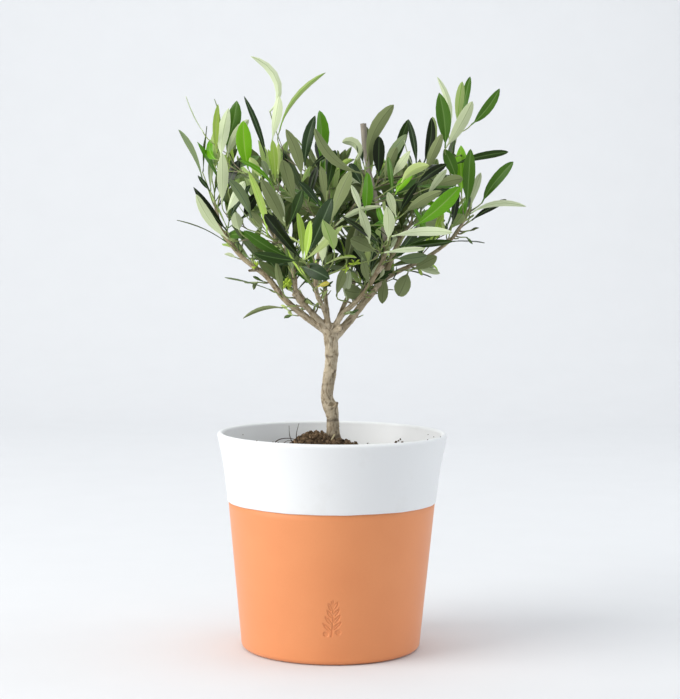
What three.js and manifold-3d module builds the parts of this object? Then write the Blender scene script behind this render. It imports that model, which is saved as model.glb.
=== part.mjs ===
// A small potted olive tree: a dipped terracotta cover pot, its soil, and the tree as trunk, boughs and
// masses of foliage. Millimetres, +Z up. The origin is the centre of the pot's flat underside, -Y is the
// front and +X is to the right of it.
import * as THREE from 'three';
import { mergeVertices } from 'three/addons/utils/BufferGeometryUtils.js';
import Module from 'manifold-3d';

const wasm = await Module();
wasm.setup();

// ---------------------------------------------------------------- driving dimensions
const GAP = 0.3; // between pieces that touch

const POT = {
  height: 153.8,
  rimRadius: 82.5,
  dipHeight: 105.1, // where the white coat starts
  dipRadius: 73.6, // of the bare clay just under the coat
  coatStep: 0.7, // how far the white coat stands proud of the clay
  footRadius: 60,
  footRounding: 3.8,
  wall: 3.6,
  floor: 6,
  lipRounding: 1.4,
  flareBow: 0.9, // how far the flared upper wall bows inwards of a straight line
  segments: 36,
};

const SOIL = {
  bedHeight: 130, // top of the soil out by the wall
  moundTop: 154, // highest point of the raised root ball
  moundRadius: 42,
  moundX: -8,
  moundLean: -9, // how far the summit sits from the mound's middle
  bedDip: 1.6,
  segments: 24,
};

const TRUNK = {
  ground: 150, // flat cut, where the bark meets the soil
  fork: 231,
  flareRadius: 5.7,
  radius: 4.45,
  forkRadius: 7.4,
  sides: 12,
  steps: 16,
  // how far the stem wanders sideways as it rises, from the cut to the fork
  line: [
    { z: 150, x: 0.6, y: 0 },
    { z: 162, x: 0.2, y: 0 },
    { z: 169, x: -0.8, y: 0.3 },
    { z: 177, x: -3.8, y: 0.8 },
    { z: 184, x: -3.8, y: 1 },
    { z: 196, x: -2.1, y: 0.8 },
    { z: 208, x: -1.0, y: 0.2 },
    { z: 218, x: -1.4, y: 0 },
    { z: 231, x: -2.4, y: 0 },
  ],
  // swellings on the bark: height, half length, how much wider
  knots: [
    { z: 171, half: 4, swell: 0.2 },
    { z: 193, half: 2.5, swell: 0.05 },
    { z: 209, half: 2, swell: 0.06 },
  ],
};

// Each bough is one tapering limb through a few points: its foot in the fork, its bends and its end.
const BOUGHS = [
  { name: 'bough_left_outer', thick: 6.2, thin: 3.2,
    through: [[-4, 0, 225], [-20.6, -2, 236.4], [-34.6, -3, 248.2], [-47.6, -2, 264.1], [-66, 0, 278.5], [-84, 2, 302]] },
  { name: 'bough_left_inner', thick: 5.4, thin: 3,
    through: [[-4, -2, 227], [-10, -6, 233.6], [-18, -12, 242], [-26, -17, 251], [-28, -20, 268], [-36, -24, 292]] },
  { name: 'bough_centre_front', thick: 4.8, thin: 2.6,
    through: [[-3, -2, 228], [-6, -10, 240], [-12, -22, 254], [-12, -36, 272], [-8, -48, 292]] },
  { name: 'bough_centre_rear', thick: 4.2, thin: 2.6,
    through: [[-3, 2, 228], [-5, 8, 243], [-6, 14, 256], [-5, 24, 275], [-2, 34, 296]] },
  { name: 'bough_right_inner', thick: 5.2, thin: 3,
    through: [[0, -2, 226], [6.2, -7, 237.7], [21, -13, 252.8], [33.7, -17, 275.7], [38, -20, 292]] },
  { name: 'bough_right_outer', thick: 7.4, thin: 4,
    through: [[-1, 1, 219], [12.3, 6, 233.7], [20.1, 9, 243.7], [32.9, 12, 259.8], [43, 15, 281], [50, 19, 296]] },
  { name: 'bough_right_spread', thick: 4.4, thin: 2.4,
    through: [[33, 12, 260.5], [45.8, 12, 267.9], [65.5, 9, 277.9], [84.7, 5, 293], [95, 3, 311]] },
  { name: 'bough_rear_left', thick: 4.6, thin: 2.6,
    through: [[-6, 2, 226], [-16, 14, 238], [-28, 28, 256], [-40, 40, 282], [-44, 46, 300]] },
  { name: 'bough_rear_right', thick: 4.4, thin: 2.6,
    through: [[2, 4, 229], [8, 18, 244], [16, 36, 262], [22, 54, 288], [24, 60, 302]] },
];
const BOUGH_SIDES = 7;
const BOUGH_STEPS = 8;

// Each mass of foliage is an uneven ball with shoots that stand out of it to their leaf tips.
const MASSES = [
  { name: 'foliage_left_outer', centre: [-84, 4, 336], reach: [20, 28, 40], seed: 3,
    tips: [[-105, 5, 390], [-84, -10, 387], [-112, 20, 368], [-111, 8, 303], [-69, -12, 387], [-88, 36, 368]] },
  { name: 'foliage_left_crown', centre: [-47, 2, 350], reach: [22, 24, 32], seed: 11,
    tips: [[-60, 0, 419], [-39, -10, 390], [-65, 25, 392], [-7, 10, 408], [-62, -24, 372]] },
  { name: 'foliage_left_front', centre: [-46, -42, 313], reach: [29, 27, 39], seed: 5,
    tips: [[-78, -56, 336], [-40, -74, 346], [-58, -54, 362]] },
  { name: 'foliage_left_rear', centre: [-44, 50, 322], reach: [30, 29, 40], seed: 7,
    tips: [[-70, 80, 346], [-44, 86, 358], [-80, 48, 352]] },
  { name: 'foliage_centre', centre: [-8, 2, 322], reach: [21, 24, 40], seed: 17,
    tips: [[-14, 10, 379], [-11, -15, 380], [-2, 4, 366]] },
  { name: 'foliage_centre_front', centre: [2, -56, 300], reach: [25, 27, 36], seed: 19,
    tips: [[6, -86, 330], [-8, -93, 304], [6, -54, 353]] },
  { name: 'foliage_centre_rear', centre: [4, 56, 314], reach: [25, 29, 40], seed: 23,
    tips: [[0, 96, 332], [-12, 74, 366], [18, 80, 356]] },
  { name: 'foliage_centre_right', centre: [26, 4, 328], reach: [18, 24, 37], seed: 29,
    tips: [[41, -10, 386], [20, 5, 373], [32, 15, 366]] },
  { name: 'foliage_right_front', centre: [48, -40, 304], reach: [29, 27, 35], seed: 31,
    tips: [[72, -66, 330], [50, -78, 326], [38, -62, 346]] },
  { name: 'foliage_right_rear', centre: [52, 48, 317], reach: [29, 29, 39], seed: 37,
    tips: [[76, 74, 344], [48, 82, 352], [84, 40, 362]] },
  { name: 'foliage_right_crown', centre: [62, 0, 340], reach: [21, 26, 30], seed: 41,
    tips: [[50, -15, 365], [52, 15, 376], [70, 25, 379], [72, -15, 394], [72, 5, 406]] },
  { name: 'foliage_right_outer', centre: [93, 2, 330], reach: [20, 28, 35], seed: 43,
    tips: [[89, -5, 403], [96, 10, 407], [115, 0, 397], [122, -5, 353], [125, 15, 346], [136, 5, 315], [108, 10, 289]] },
];
// Small masses that hang beside a bough, which runs on past them.
const LOW_MASSES = [
  { name: 'foliage_right_low', centre: [44, 4, 258], reach: [13, 8, 8], seed: 47, detail: 1,
    tips: [[35, 2, 245], [50, 1, 251], [76, 6, 267]] },
  { name: 'foliage_left_low', centre: [-46, -6, 250], reach: [11, 7, 6], seed: 53, detail: 1,
    tips: [[-77, -6, 263], [-64, -6, 234]] },
];
const MASS_ROUGHNESS = 0.2;
const SHOOT_WIDTH = 5; // radius of a shoot's leaves at their widest
const SHOOT_SIDES = 5;
const SHOOT_STEPS = 3;

// ---------------------------------------------------------------- finishes
const finish = (name, color, roughness, metalness = 0) => {
  const material = new THREE.MeshStandardMaterial({ color, roughness, metalness });
  material.name = name;
  return material;
};
const FINISHES = {
  clay: () => finish('terracotta', 0xe8965f, 0.75),
  coat: () => finish('white_coat', 0xf2f3f3, 0.55),
  soil: () => finish('soil', 0x3b2c22, 0.95),
  bark: () => finish('bark', 0x9b8a70, 0.9),
  foliage: () => finish('foliage', 0x5c7a4a, 0.6),
};

// ---------------------------------------------------------------- solids
function toSolid(geometry) {
  const bare = geometry.clone();
  bare.deleteAttribute('normal');
  bare.deleteAttribute('uv');
  const merged = mergeVertices(bare, 1e-3);
  const index = Array.from(merged.index.array);
  const kept = [];
  for (let i = 0; i < index.length; i += 3) {
    const [a, b, c] = index.slice(i, i + 3);
    if (a !== b && b !== c && c !== a) kept.push(a, b, c);
  }
  return new wasm.Manifold(new wasm.Mesh({
    numProp: 3,
    vertProperties: new Float32Array(merged.attributes.position.array),
    triVerts: new Uint32Array(kept),
  }));
}

function toGeometry(solid) {
  const mesh = solid.getMesh();
  const geometry = new THREE.BufferGeometry();
  geometry.setAttribute('position', new THREE.BufferAttribute(new Float32Array(mesh.vertProperties), 3));
  geometry.setIndex(new THREE.BufferAttribute(new Uint32Array(mesh.triVerts), 1));
  geometry.computeVertexNormals();
  return geometry;
}

function turned(profile, segments) {
  const points = profile.map(([r, z]) => new THREE.Vector2(r, z));
  return toSolid(new THREE.LatheGeometry(points, segments).rotateX(Math.PI / 2));
}

function meshOfRings(rings) {
  const sides = rings[0].length;
  const last = rings.length - 1;
  const middle = (ring) => ring.reduce((sum, p) => sum.add(p), new THREE.Vector3()).divideScalar(sides);
  const vertices = rings.flat().concat([middle(rings[0]), middle(rings[last])]);
  const index = [];
  for (let i = 0; i < last; i += 1) {
    for (let j = 0; j < sides; j += 1) {
      const a = i * sides + j;
      const b = i * sides + ((j + 1) % sides);
      index.push(a, b, b + sides, a, b + sides, a + sides);
    }
  }
  const foot = rings.length * sides;
  for (let j = 0; j < sides; j += 1) {
    const k = (j + 1) % sides;
    index.push(foot, k, j, foot + 1, last * sides + j, last * sides + k);
  }
  const geometry = new THREE.BufferGeometry().setFromPoints(vertices);
  geometry.setIndex(index);
  return toSolid(geometry);
}

// A limb of round section whose radius is a function of how far along it is, from 0 to 1.
function limb(through, radiusAt, sides, steps) {
  const curve = new THREE.CatmullRomCurve3(through.map((p) => new THREE.Vector3(...p)));
  const frames = curve.computeFrenetFrames(steps, false);
  const rings = [];
  for (let i = 0; i <= steps; i += 1) {
    const middle = curve.getPointAt(i / steps);
    const radius = radiusAt(i / steps);
    rings.push(Array.from({ length: sides }, (_, j) => {
      const turn = (2 * Math.PI * j) / sides;
      return middle.clone()
        .addScaledVector(frames.normals[i], radius * Math.cos(turn))
        .addScaledVector(frames.binormals[i], radius * Math.sin(turn));
    }));
  }
  return meshOfRings(rings);
}

// ---------------------------------------------------------------- pot
function wallOuter(z) {
  const foot = POT.footRadius + POT.footRounding;
  if (z <= POT.dipHeight) {
    return foot + ((POT.dipRadius - foot) * (z - POT.footRounding)) / (POT.dipHeight - POT.footRounding);
  }
  const t = (z - POT.dipHeight) / (POT.height - POT.dipHeight);
  const start = POT.dipRadius + POT.coatStep;
  return start + (POT.rimRadius - start) * t - POT.flareBow * Math.sin(Math.PI * t);
}
const wallInner = (z) => wallOuter(z) - POT.wall - (z > POT.dipHeight ? POT.coatStep : 0);

function arc(centreR, centreZ, radius, from, to, steps) {
  return Array.from({ length: steps + 1 }, (_, i) => {
    const a = from + ((to - from) * i) / steps;
    return [centreR + radius * Math.cos(a), centreZ + radius * Math.sin(a)];
  });
}

function potClay() {
  const top = POT.dipHeight - GAP / 2;
  const inside = wallInner(POT.floor);
  return turned([
    [0, 0],
    ...arc(POT.footRadius, POT.footRounding, POT.footRounding, -Math.PI / 2, 0, 3),
    [wallOuter(top), top],
    [wallInner(top), top],
    [inside, POT.floor + 3],
    [inside - 3, POT.floor],
    [0, POT.floor],
  ], POT.segments);
}

function potCoat() {
  const bottom = POT.dipHeight + GAP / 2;
  const lip = POT.lipRounding;
  const levels = [0, 0.5, 1].map((t) => bottom + (POT.height - lip - bottom) * t);
  const outer = levels.map((z) => [wallOuter(z), z]);
  const inner = levels.map((z) => [wallInner(z), z]).reverse();
  const outerLip = arc(wallOuter(POT.height - lip) - lip, POT.height - lip, lip, Math.PI / 5, Math.PI / 2, 1);
  const innerLip = arc(wallInner(POT.height - lip) + lip, POT.height - lip, lip, Math.PI / 2, (4 * Math.PI) / 5, 1);
  return turned([...outer, ...outerLip, ...innerLip, ...inner, outer[0]], POT.segments);
}

// ---------------------------------------------------------------- soil
function soilBed() {
  const top = SOIL.bedHeight;
  const clear = 0.5;
  return turned([
    [0, POT.floor + GAP],
    [wallInner(POT.floor) - 3 - clear, POT.floor + GAP],
    [wallInner(POT.floor) - clear, POT.floor + 3 + GAP],
    [wallInner(POT.dipHeight) - POT.coatStep - clear, POT.dipHeight],
    [wallInner(top) - clear, top - 1],
    [SOIL.moundRadius + 8, top - SOIL.bedDip],
    [SOIL.moundRadius * 0.9, top],
    [0, top],
  ], SOIL.segments);
}

function soilMound(trunk) {
  const foot = SOIL.bedHeight + GAP;
  const height = SOIL.moundTop - foot;
  const levels = [0, 0.12, 0.35, 0.6, 0.82, 0.95, 1];
  const rings = levels.map((t) => {
    const spread = 0.1 + 0.9 * (1 - t) ** 0.55;
    return Array.from({ length: SOIL.segments }, (_, j) => {
      const turn = (2 * Math.PI * j) / SOIL.segments;
      const ragged = 1 + 0.05 * Math.sin(3 * turn + 1) + 0.04 * Math.sin(7 * turn + 4 * t);
      const radius = SOIL.moundRadius * spread * ragged;
      return new THREE.Vector3(
        SOIL.moundX + SOIL.moundLean * t * t + radius * Math.cos(turn),
        radius * Math.sin(turn),
        foot + height * t,
      );
    });
  });
  return meshOfRings(rings).subtract(trunk);
}

// ---------------------------------------------------------------- trunk and boughs
function trunk(extra = 0) {
  const curve = new THREE.CatmullRomCurve3(TRUNK.line.map((p) => new THREE.Vector3(p.x, p.y, p.z)));
  const steps = TRUNK.steps;
  const rings = Array.from({ length: steps + 1 }, (_, i) => {
    const t = i / steps;
    const middle = curve.getPoint(t);
    const height = middle.z - TRUNK.ground;
    const left = TRUNK.fork - middle.z;
    const flare = (TRUNK.flareRadius - TRUNK.radius) * Math.exp(-height / 4);
    const fork = (TRUNK.forkRadius - TRUNK.radius) * Math.exp(-left / 7);
    const swell = TRUNK.knots.reduce(
      (sum, k) => sum + k.swell * Math.exp(-(((middle.z - k.z) / k.half) ** 2)),
      1,
    );
    const radius = (TRUNK.radius + flare + fork) * swell + extra;
    const drop = i === 0 ? extra : 0;
    return Array.from({ length: TRUNK.sides }, (_, j) => {
      const turn = (2 * Math.PI * j) / TRUNK.sides;
      const fluted = radius * (1 + 0.04 * Math.sin(3 * turn + middle.z / 12));
      return new THREE.Vector3(
        middle.x + fluted * Math.cos(turn),
        middle.y + fluted * Math.sin(turn),
        middle.z - drop,
      );
    });
  });
  return meshOfRings(rings);
}

function bough({ through, thick, thin }, extra = 0) {
  const radiusAt = (t) => (thick + (thin - thick) * Math.sqrt(t)) / 2 + extra;
  return limb(through, radiusAt, BOUGH_SIDES, BOUGH_STEPS);
}

// ---------------------------------------------------------------- foliage
function uneven(direction, seed) {
  const wave = (a, b, c, d) => Math.sin(a * direction.x + b * direction.y + c * direction.z + d * seed);
  return wave(3.1, 2.3, 1.7, 1) * 0.5 + wave(-2.2, 4.1, 3.3, 2.7) * 0.3 + wave(5.3, -3.7, 4.9, 4.3) * 0.2;
}

function leafBall({ centre, reach, seed, detail = 2 }, extra) {
  const ball = new THREE.IcosahedronGeometry(1, detail);
  const position = ball.attributes.position;
  for (let i = 0; i < position.count; i += 1) {
    const direction = new THREE.Vector3().fromBufferAttribute(position, i).normalize();
    const size = 1 + MASS_ROUGHNESS * uneven(direction, seed);
    position.setXYZ(
      i,
      centre[0] + direction.x * (reach[0] * size + extra),
      centre[1] + direction.y * (reach[1] * size + extra),
      centre[2] + direction.z * (reach[2] * size + extra),
    );
  }
  return toSolid(ball);
}

// A shoot leaves its mass along a gentle bow and ends in a point at its leaf tip.
function leafShoot(centre, tip, seed, extra) {
  const from = new THREE.Vector3(...centre);
  const to = new THREE.Vector3(...tip);
  const length = from.distanceTo(to);
  const root = from.clone().lerp(to, 0.15);
  const bow = new THREE.Vector3(Math.sin(seed), Math.cos(seed), 0).multiplyScalar(length * 0.03);
  const half = root.clone().lerp(to, 0.55).add(bow);
  const end = to.clone().addScaledVector(to.clone().sub(half).normalize(), extra);
  const radiusAt = (t) => {
    const widest = Math.min(SHOOT_WIDTH, length * 0.16);
    return Math.max(0.35, widest * Math.sqrt(Math.max(0, 1 - t * t))) + extra;
  };
  return limb([root, half, end].map((p) => p.toArray()), radiusAt, SHOOT_SIDES, SHOOT_STEPS);
}

function mass(shape, extra = 0) {
  const shoots = shape.tips.map((tip, i) => leafShoot(shape.centre, tip, shape.seed + i, extra));
  return shoots.reduce((solid, shoot) => solid.add(shoot), leafBall(shape, extra));
}

// The largest piece that is left after a cut.
function largest(solid) {
  const pieces = solid.decompose();
  return pieces.reduce((best, piece) => (piece.volume() > best.volume() ? piece : best));
}

// What is left of a limb that starts at a point, after it has been cut by what it enters.
function pieceAt(solid, [x, y, z]) {
  const away = (piece) => {
    const { min, max } = piece.boundingBox();
    const gaps = [x, y, z].map((v, i) => Math.max(0, min[i] - v, v - max[i]));
    return Math.hypot(...gaps);
  };
  const pieces = solid.decompose().filter((piece) => piece.volume() > 5);
  return pieces.reduce((best, piece) => (away(piece) < away(best) ? piece : best));
}

// ---------------------------------------------------------------- assembly
const tree = new THREE.Group();
function place(name, solid, material) {
  const mesh = new THREE.Mesh(toGeometry(solid), material);
  mesh.name = name;
  tree.add(mesh);
}

place('pot_terracotta', potClay(), FINISHES.clay());
place('pot_white_band', potCoat(), FINISHES.coat());
place('soil_bed', soilBed(), FINISHES.soil());
place('soil_mound', soilMound(trunk(GAP)), FINISHES.soil());
place('trunk', trunk(), FINISHES.bark());

const massClearance = 2 * GAP;
const crown = MASSES.map((shape) => ({ ...shape, grown: mass(shape, massClearance) }));
let taken = null;
for (const part of crown) {
  const whole = mass(part);
  place(part.name, taken ? largest(whole.subtract(taken)) : whole, FINISHES.foliage());
  taken = taken ? taken.add(part.grown) : part.grown;
}

let limbs = trunk(GAP);
for (const shape of BOUGHS) {
  const whole = bough(shape).subtract(limbs).subtract(taken);
  place(shape.name, pieceAt(whole, shape.through[0]), FINISHES.bark());
  limbs = limbs.add(bough(shape, GAP));
}

for (const part of LOW_MASSES) {
  place(part.name, largest(mass(part).subtract(taken).subtract(limbs)), FINISHES.foliage());
}

export default tree;
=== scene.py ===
"""Potted olive tree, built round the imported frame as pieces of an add-on that is run as a script."""
import math
import random

import bpy
import numpy as np
from mathutils import Matrix, Vector, kdtree, noise
from mathutils.bvhtree import BVHTree


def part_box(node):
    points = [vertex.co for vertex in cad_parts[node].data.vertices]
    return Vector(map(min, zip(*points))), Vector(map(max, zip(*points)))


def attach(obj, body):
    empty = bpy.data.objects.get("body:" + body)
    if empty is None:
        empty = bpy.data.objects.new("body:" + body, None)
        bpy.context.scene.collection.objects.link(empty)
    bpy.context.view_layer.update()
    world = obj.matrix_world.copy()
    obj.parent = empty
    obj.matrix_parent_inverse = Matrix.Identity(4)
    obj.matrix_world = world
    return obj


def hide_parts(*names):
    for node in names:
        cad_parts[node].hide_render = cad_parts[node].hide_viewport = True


bl_info = {
    "name": "Potted olive tree",
    "version": (1, 0, 0),
    "blender": (4, 5, 0),
    "location": "3D View > Sidebar > Olive tree",
    "description": "Builds a small olive tree in a dipped terracotta pot around its packed frame",
    "category": "Add Mesh",
}

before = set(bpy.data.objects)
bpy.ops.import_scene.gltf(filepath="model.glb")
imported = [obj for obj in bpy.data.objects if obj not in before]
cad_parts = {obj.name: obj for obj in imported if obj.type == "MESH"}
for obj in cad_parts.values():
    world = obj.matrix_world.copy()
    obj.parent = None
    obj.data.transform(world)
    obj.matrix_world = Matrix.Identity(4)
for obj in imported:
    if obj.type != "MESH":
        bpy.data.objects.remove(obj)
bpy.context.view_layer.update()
MM = 0.001
BODY = "root"
SEED = 20


# ------------------------------------------------------------------ helpers
def linear(hex_text):
    """An sRGB hex colour as linear red, green and blue."""
    parts = [int(hex_text[i : i + 2], 16) / 255 for i in (1, 3, 5)]
    return tuple(c / 12.92 if c <= 0.04045 else ((c + 0.055) / 1.055) ** 2.4 for c in parts)


def toned(colour, *factors):
    """A colour with all its channels, or each of them, scaled."""
    return tuple(min(1.0, c * k) for c, k in zip(colour, factors * 3 if len(factors) == 1 else factors))


def add(tree, kind, inputs=None, stops=(), out=0, **settings):
    """Adds a node and gives one of its outputs. Inputs are values or sockets by name or number, settings are
    the node's own properties, and stops are a ramp's (place, colour)."""
    made = tree.nodes.new(kind)
    for key, value in settings.items():
        setattr(made, key, value)
    for key, value in (inputs or {}).items():
        socket = made.inputs[key]
        if isinstance(value, bpy.types.NodeSocket):
            tree.links.new(value, socket)
        elif socket.type == "RGBA":
            socket.default_value = (*value, 1)
        else:
            socket.default_value = value
    if stops:
        points = made.color_ramp.elements
        while len(points) < len(stops):
            points.new(0.5)
        for point, (place, colour) in zip(points, stops):
            point.position = place
            point.color = (*colour, 1)
    return made.outputs[out]


def mesh_object(name, vertices, faces, materials, face_material=None, uv=None):
    """A mesh object at the origin. Vertices are in millimetres."""
    mesh = bpy.data.meshes.new(name)
    mesh.from_pydata((np.asarray(vertices, float) * MM).tolist(), [], [list(f) for f in faces])
    for material in materials:
        mesh.materials.append(material)
    if face_material is not None:
        mesh.polygons.foreach_set("material_index", np.asarray(face_material, np.int32))
    if uv is not None:
        layer = mesh.uv_layers.new(name=LEAF_MAP)
        layer.uv.foreach_set("vector", np.asarray(uv, np.float32).ravel())
    mesh.polygons.foreach_set("use_smooth", np.full(len(mesh.polygons), True))
    mesh.update()
    made = bpy.data.objects.new(name, mesh)
    bpy.context.scene.collection.objects.link(made)
    return made


def finish_piece(piece, slot, *nodes):
    """Rides the piece on the one body and hides the nodes that it stands for. The slot is not used."""
    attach(piece, BODY)
    if nodes:
        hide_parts(*nodes)
    return piece


def ring_faces(rows, columns, closed=True):
    """Quads between rows of a grid whose rows are closed rings or open strips."""
    return [
        (
            i * columns + j,
            i * columns + (j + 1) % columns,
            (i + 1) * columns + (j + 1) % columns,
            (i + 1) * columns + j,
        )
        for i in range(rows - 1)
        for j in range(columns if closed else columns - 1)
    ]


def level_ring(radius, angles, z):
    """A ring round the upright axis; its radius and height are numbers, or one for each angle."""
    return np.stack([radius * np.cos(angles), radius * np.sin(angles), z + 0 * angles], 1)


def length_along(line):
    """How far each place of a line is from its start."""
    return np.concatenate([[0], np.cumsum(np.linalg.norm(np.diff(line, axis=0), axis=1))])


def spline(points, steps):
    """A Catmull-Rom line through the points, as an array of evenly spread places."""
    p = np.asarray(points, float)
    p = np.vstack([2 * p[0] - p[1], p, 2 * p[-1] - p[-2]])
    pieces = len(p) - 3
    found = []
    for k in range(pieces * 16 + 1):
        i = min(k // 16, pieces - 1)
        t = k / 16 - i
        a, b, c, d = p[i : i + 4]
        found.append(
            0.5 * (2 * b + (c - a) * t + (2 * a - 5 * b + 4 * c - d) * t * t + (3 * b - a - 3 * c + d) * t**3)
        )
    found = np.array(found)
    along = length_along(found)
    wanted = np.linspace(0, along[-1], steps)
    return np.stack([np.interp(wanted, along, found[:, k]) for k in range(3)], 1)


def unit(vector):
    return vector / max(1e-9, float(np.linalg.norm(vector)))


def tangents(path):
    found = np.gradient(path, axis=0)
    return found / np.maximum(np.linalg.norm(found, axis=1, keepdims=True), 1e-9)


def tube(path, radii, sides):
    """Vertices and faces of a closed limb along a path, with its ring frames carried along it."""
    along = tangents(path)
    across = np.cross(along[0], (0.3, 1, 0.2))
    across /= np.linalg.norm(across)
    turn = np.linspace(0, 2 * math.pi, sides, endpoint=False)
    rings = []
    for point, forward, radius in zip(path, along, radii):
        across = across - forward * (across @ forward)
        across /= np.linalg.norm(across)
        other = np.cross(forward, across)
        ring = np.outer(np.cos(turn), across) + np.outer(np.sin(turn), other)
        rings.append(point + radius * ring)
    rows = len(path)
    vertices = np.vstack([*rings, path[0], path[-1]])
    faces = ring_faces(rows, sides)
    foot, head = rows * sides, rows * sides + 1
    faces += [(foot, (j + 1) % sides, j) for j in range(sides)]
    faces += [(head, (rows - 1) * sides + j, (rows - 1) * sides + (j + 1) % sides) for j in range(sides)]
    return vertices, faces


def joined(pieces):
    """Several (vertices, faces) as one."""
    vertices, faces, offset = [], [], 0
    for found, quads in pieces:
        vertices.append(found)
        faces += [tuple(offset + v for v in quad) for quad in quads]
        offset += len(found)
    return np.vstack(vertices), faces


def smoothstep(low, high, value):
    t = np.clip((np.asarray(value, float) - low) / (high - low), 0, 1)
    return t * t * (3 - 2 * t)


# ------------------------------------------------------------------ what a user may change
def length_setting(name, says, default):
    return bpy.props.FloatProperty(name=name, description=says, default=default, min=0.0001, unit="LENGTH")


def angle_setting(name, says, default):
    return bpy.props.FloatProperty(name=name, description=says, default=default, subtype="ANGLE")


def amount_setting(name, says, default, unit="NONE"):
    return bpy.props.FloatProperty(name=name, description=says, default=default, min=0, unit=unit)


def colour_setting(name, says, hex_text):
    colour = linear(hex_text)
    return bpy.props.FloatVectorProperty(name=name, description=says, subtype="COLOR", default=colour)


LIP, CLAY_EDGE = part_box("pot_white_band")[1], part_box("pot_terracotta")[1]


class OlivePotSettings(bpy.types.PropertyGroup):
    """Sizes and colours of the pot and its soil."""

    rim: length_setting("Rim radius", "Outer radius at the lip", LIP.x)
    height: length_setting("Height", "From the foot to the lip", LIP.z)
    dip: length_setting("Dip line", "Height at which the white coat starts", CLAY_EDGE.z + 0.00015)
    dip_radius: length_setting("Clay radius at the dip", "Outer radius under the coat", CLAY_EDGE.x)
    foot: length_setting("Foot radius", "Radius of the flat underside", 0.060)
    foot_round: length_setting("Foot rounding", "Radius of the rounded edge round the foot", 0.0038)
    wall: length_setting("Wall", "Thickness of the fired wall", 0.0036)
    coat: length_setting("Coat step", "How far the white coat stands proud of the clay", 0.0007)
    mark: length_setting("Sprig height", "Height of the impressed olive sprig", 0.027)
    mark_depth: length_setting("Sprig depth", "How deep the sprig is pressed into the clay", 0.0006)
    clay: colour_setting("Clay", "Colour of the bare terracotta", "#E8955F")
    white: colour_setting("White coat", "Colour of the dipped coat", "#EAECED")
    compost: colour_setting("Compost", "Colour of the damp potting compost", "#4A3C2C")


class OliveTreeSettings(bpy.types.PropertyGroup):
    """Sizes and colours of the bark, twigs and leaves."""

    relief: length_setting("Bark relief", "Depth of the bark's furrows on the stem", 0.0005)
    skin: length_setting("Bark mesh step", "Size of the faces that carry the bark relief", 0.00052)
    leaf_length: length_setting("Leaf length", "Length of a full-grown leaf with its stalk", 0.0385)
    leaf_width: length_setting("Leaf width", "Width of a full-grown leaf", 0.0096)
    leaf_thick: length_setting("Leaf thickness", "Thickness of the leathery blade", 0.0004)
    bark: colour_setting("Bark", "Colour of the smooth young bark", "#BDB19A")
    # Painted shade as well as bark colour: this dark colour fills the furrows and the hollows of the bark's
    # relief.
    furrow_and_shade: colour_setting("Bark furrows", "Colour down in the bark's furrows", "#66573F")
    shoot: colour_setting("Green shoots", "Colour of this year's shoots", "#8FA05C")


class OliveStageSettings(bpy.types.PropertyGroup):
    """Camera and light."""

    distance: length_setting("Camera distance", "From the pot's axis to the camera", 1.300)
    height: length_setting("Camera height", "Above the surface the pot stands on", 0.2929)
    aside: length_setting("Camera aside", "How far the camera stands left of the pot's axis", 0.0073)
    tilt: angle_setting("Camera tilt", "Downward tilt", 0.0617)
    turn: angle_setting("Camera turn", "Turn to the right of the pot", 0.0094)
    roll: angle_setting("Camera roll", "Lean of the horizon", 0.0089)
    lens: amount_setting("Lens", "Focal length in millimetres on a 36 mm sensor", 94.5, "CAMERA")
    key: amount_setting("Key light", "Power of the large window light on the left", 36, "POWER")
    wash: amount_setting("Backdrop light", "Power of the light on the backdrop", 20, "POWER")
    top: amount_setting("Top light", "Power of the soft light overhead", 5.5, "POWER")
    reflector: amount_setting("Reflector", "Power of the weak cool light from the right", 7, "POWER")
    fill: amount_setting("Sky light", "Strength of the even light from all round", 0.64)


# ------------------------------------------------------------------ materials
PLACE, MAPPING, NOISE = "ShaderNodeTexCoord", "ShaderNodeMapping", "ShaderNodeTexNoise"
RAMP, MATH, MIX = "ShaderNodeValToRGB", "ShaderNodeMath", "ShaderNodeMix"
SPLIT, MAP = "ShaderNodeSeparateXYZ", "ShaderNodeUVMap"
COLOURS = {"data_type": "RGBA", "out": 2}
BLACK, WHITE = (0, 0, 0), (1, 1, 1)
LEAF_MAP = "OFBake"


def new_material(name, roughness, specular=0.5):
    """An empty material, its node tree and its shader's inputs."""
    material = bpy.data.materials.new(name)
    material.use_nodes = True
    shader = material.node_tree.nodes["Principled BSDF"].inputs
    for key, value in (("Roughness", roughness), ("IOR", 1.45), ("Specular IOR Level", specular)):
        shader[key].default_value = value
    return material, material.node_tree, shader


def lumps_of(across, detail=3.0, roughness=0.55):
    """The inputs of a noise whose lumps are that many millimetres across."""
    return {"Scale": 1000 / across, "Detail": detail, "Roughness": roughness}


def paint(tree, shader, colour, relief=None, depth=0.0, strength=1.0):
    """Gives the shader its colour, and a relief that is some millimetres deep."""
    tree.links.new(colour, shader["Base Color"])
    if relief is not None:
        bumped = add(tree, "ShaderNodeBump", {"Height": relief, "Distance": depth * MM, "Strength": strength})
        tree.links.new(bumped, shader["Normal"])


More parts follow.
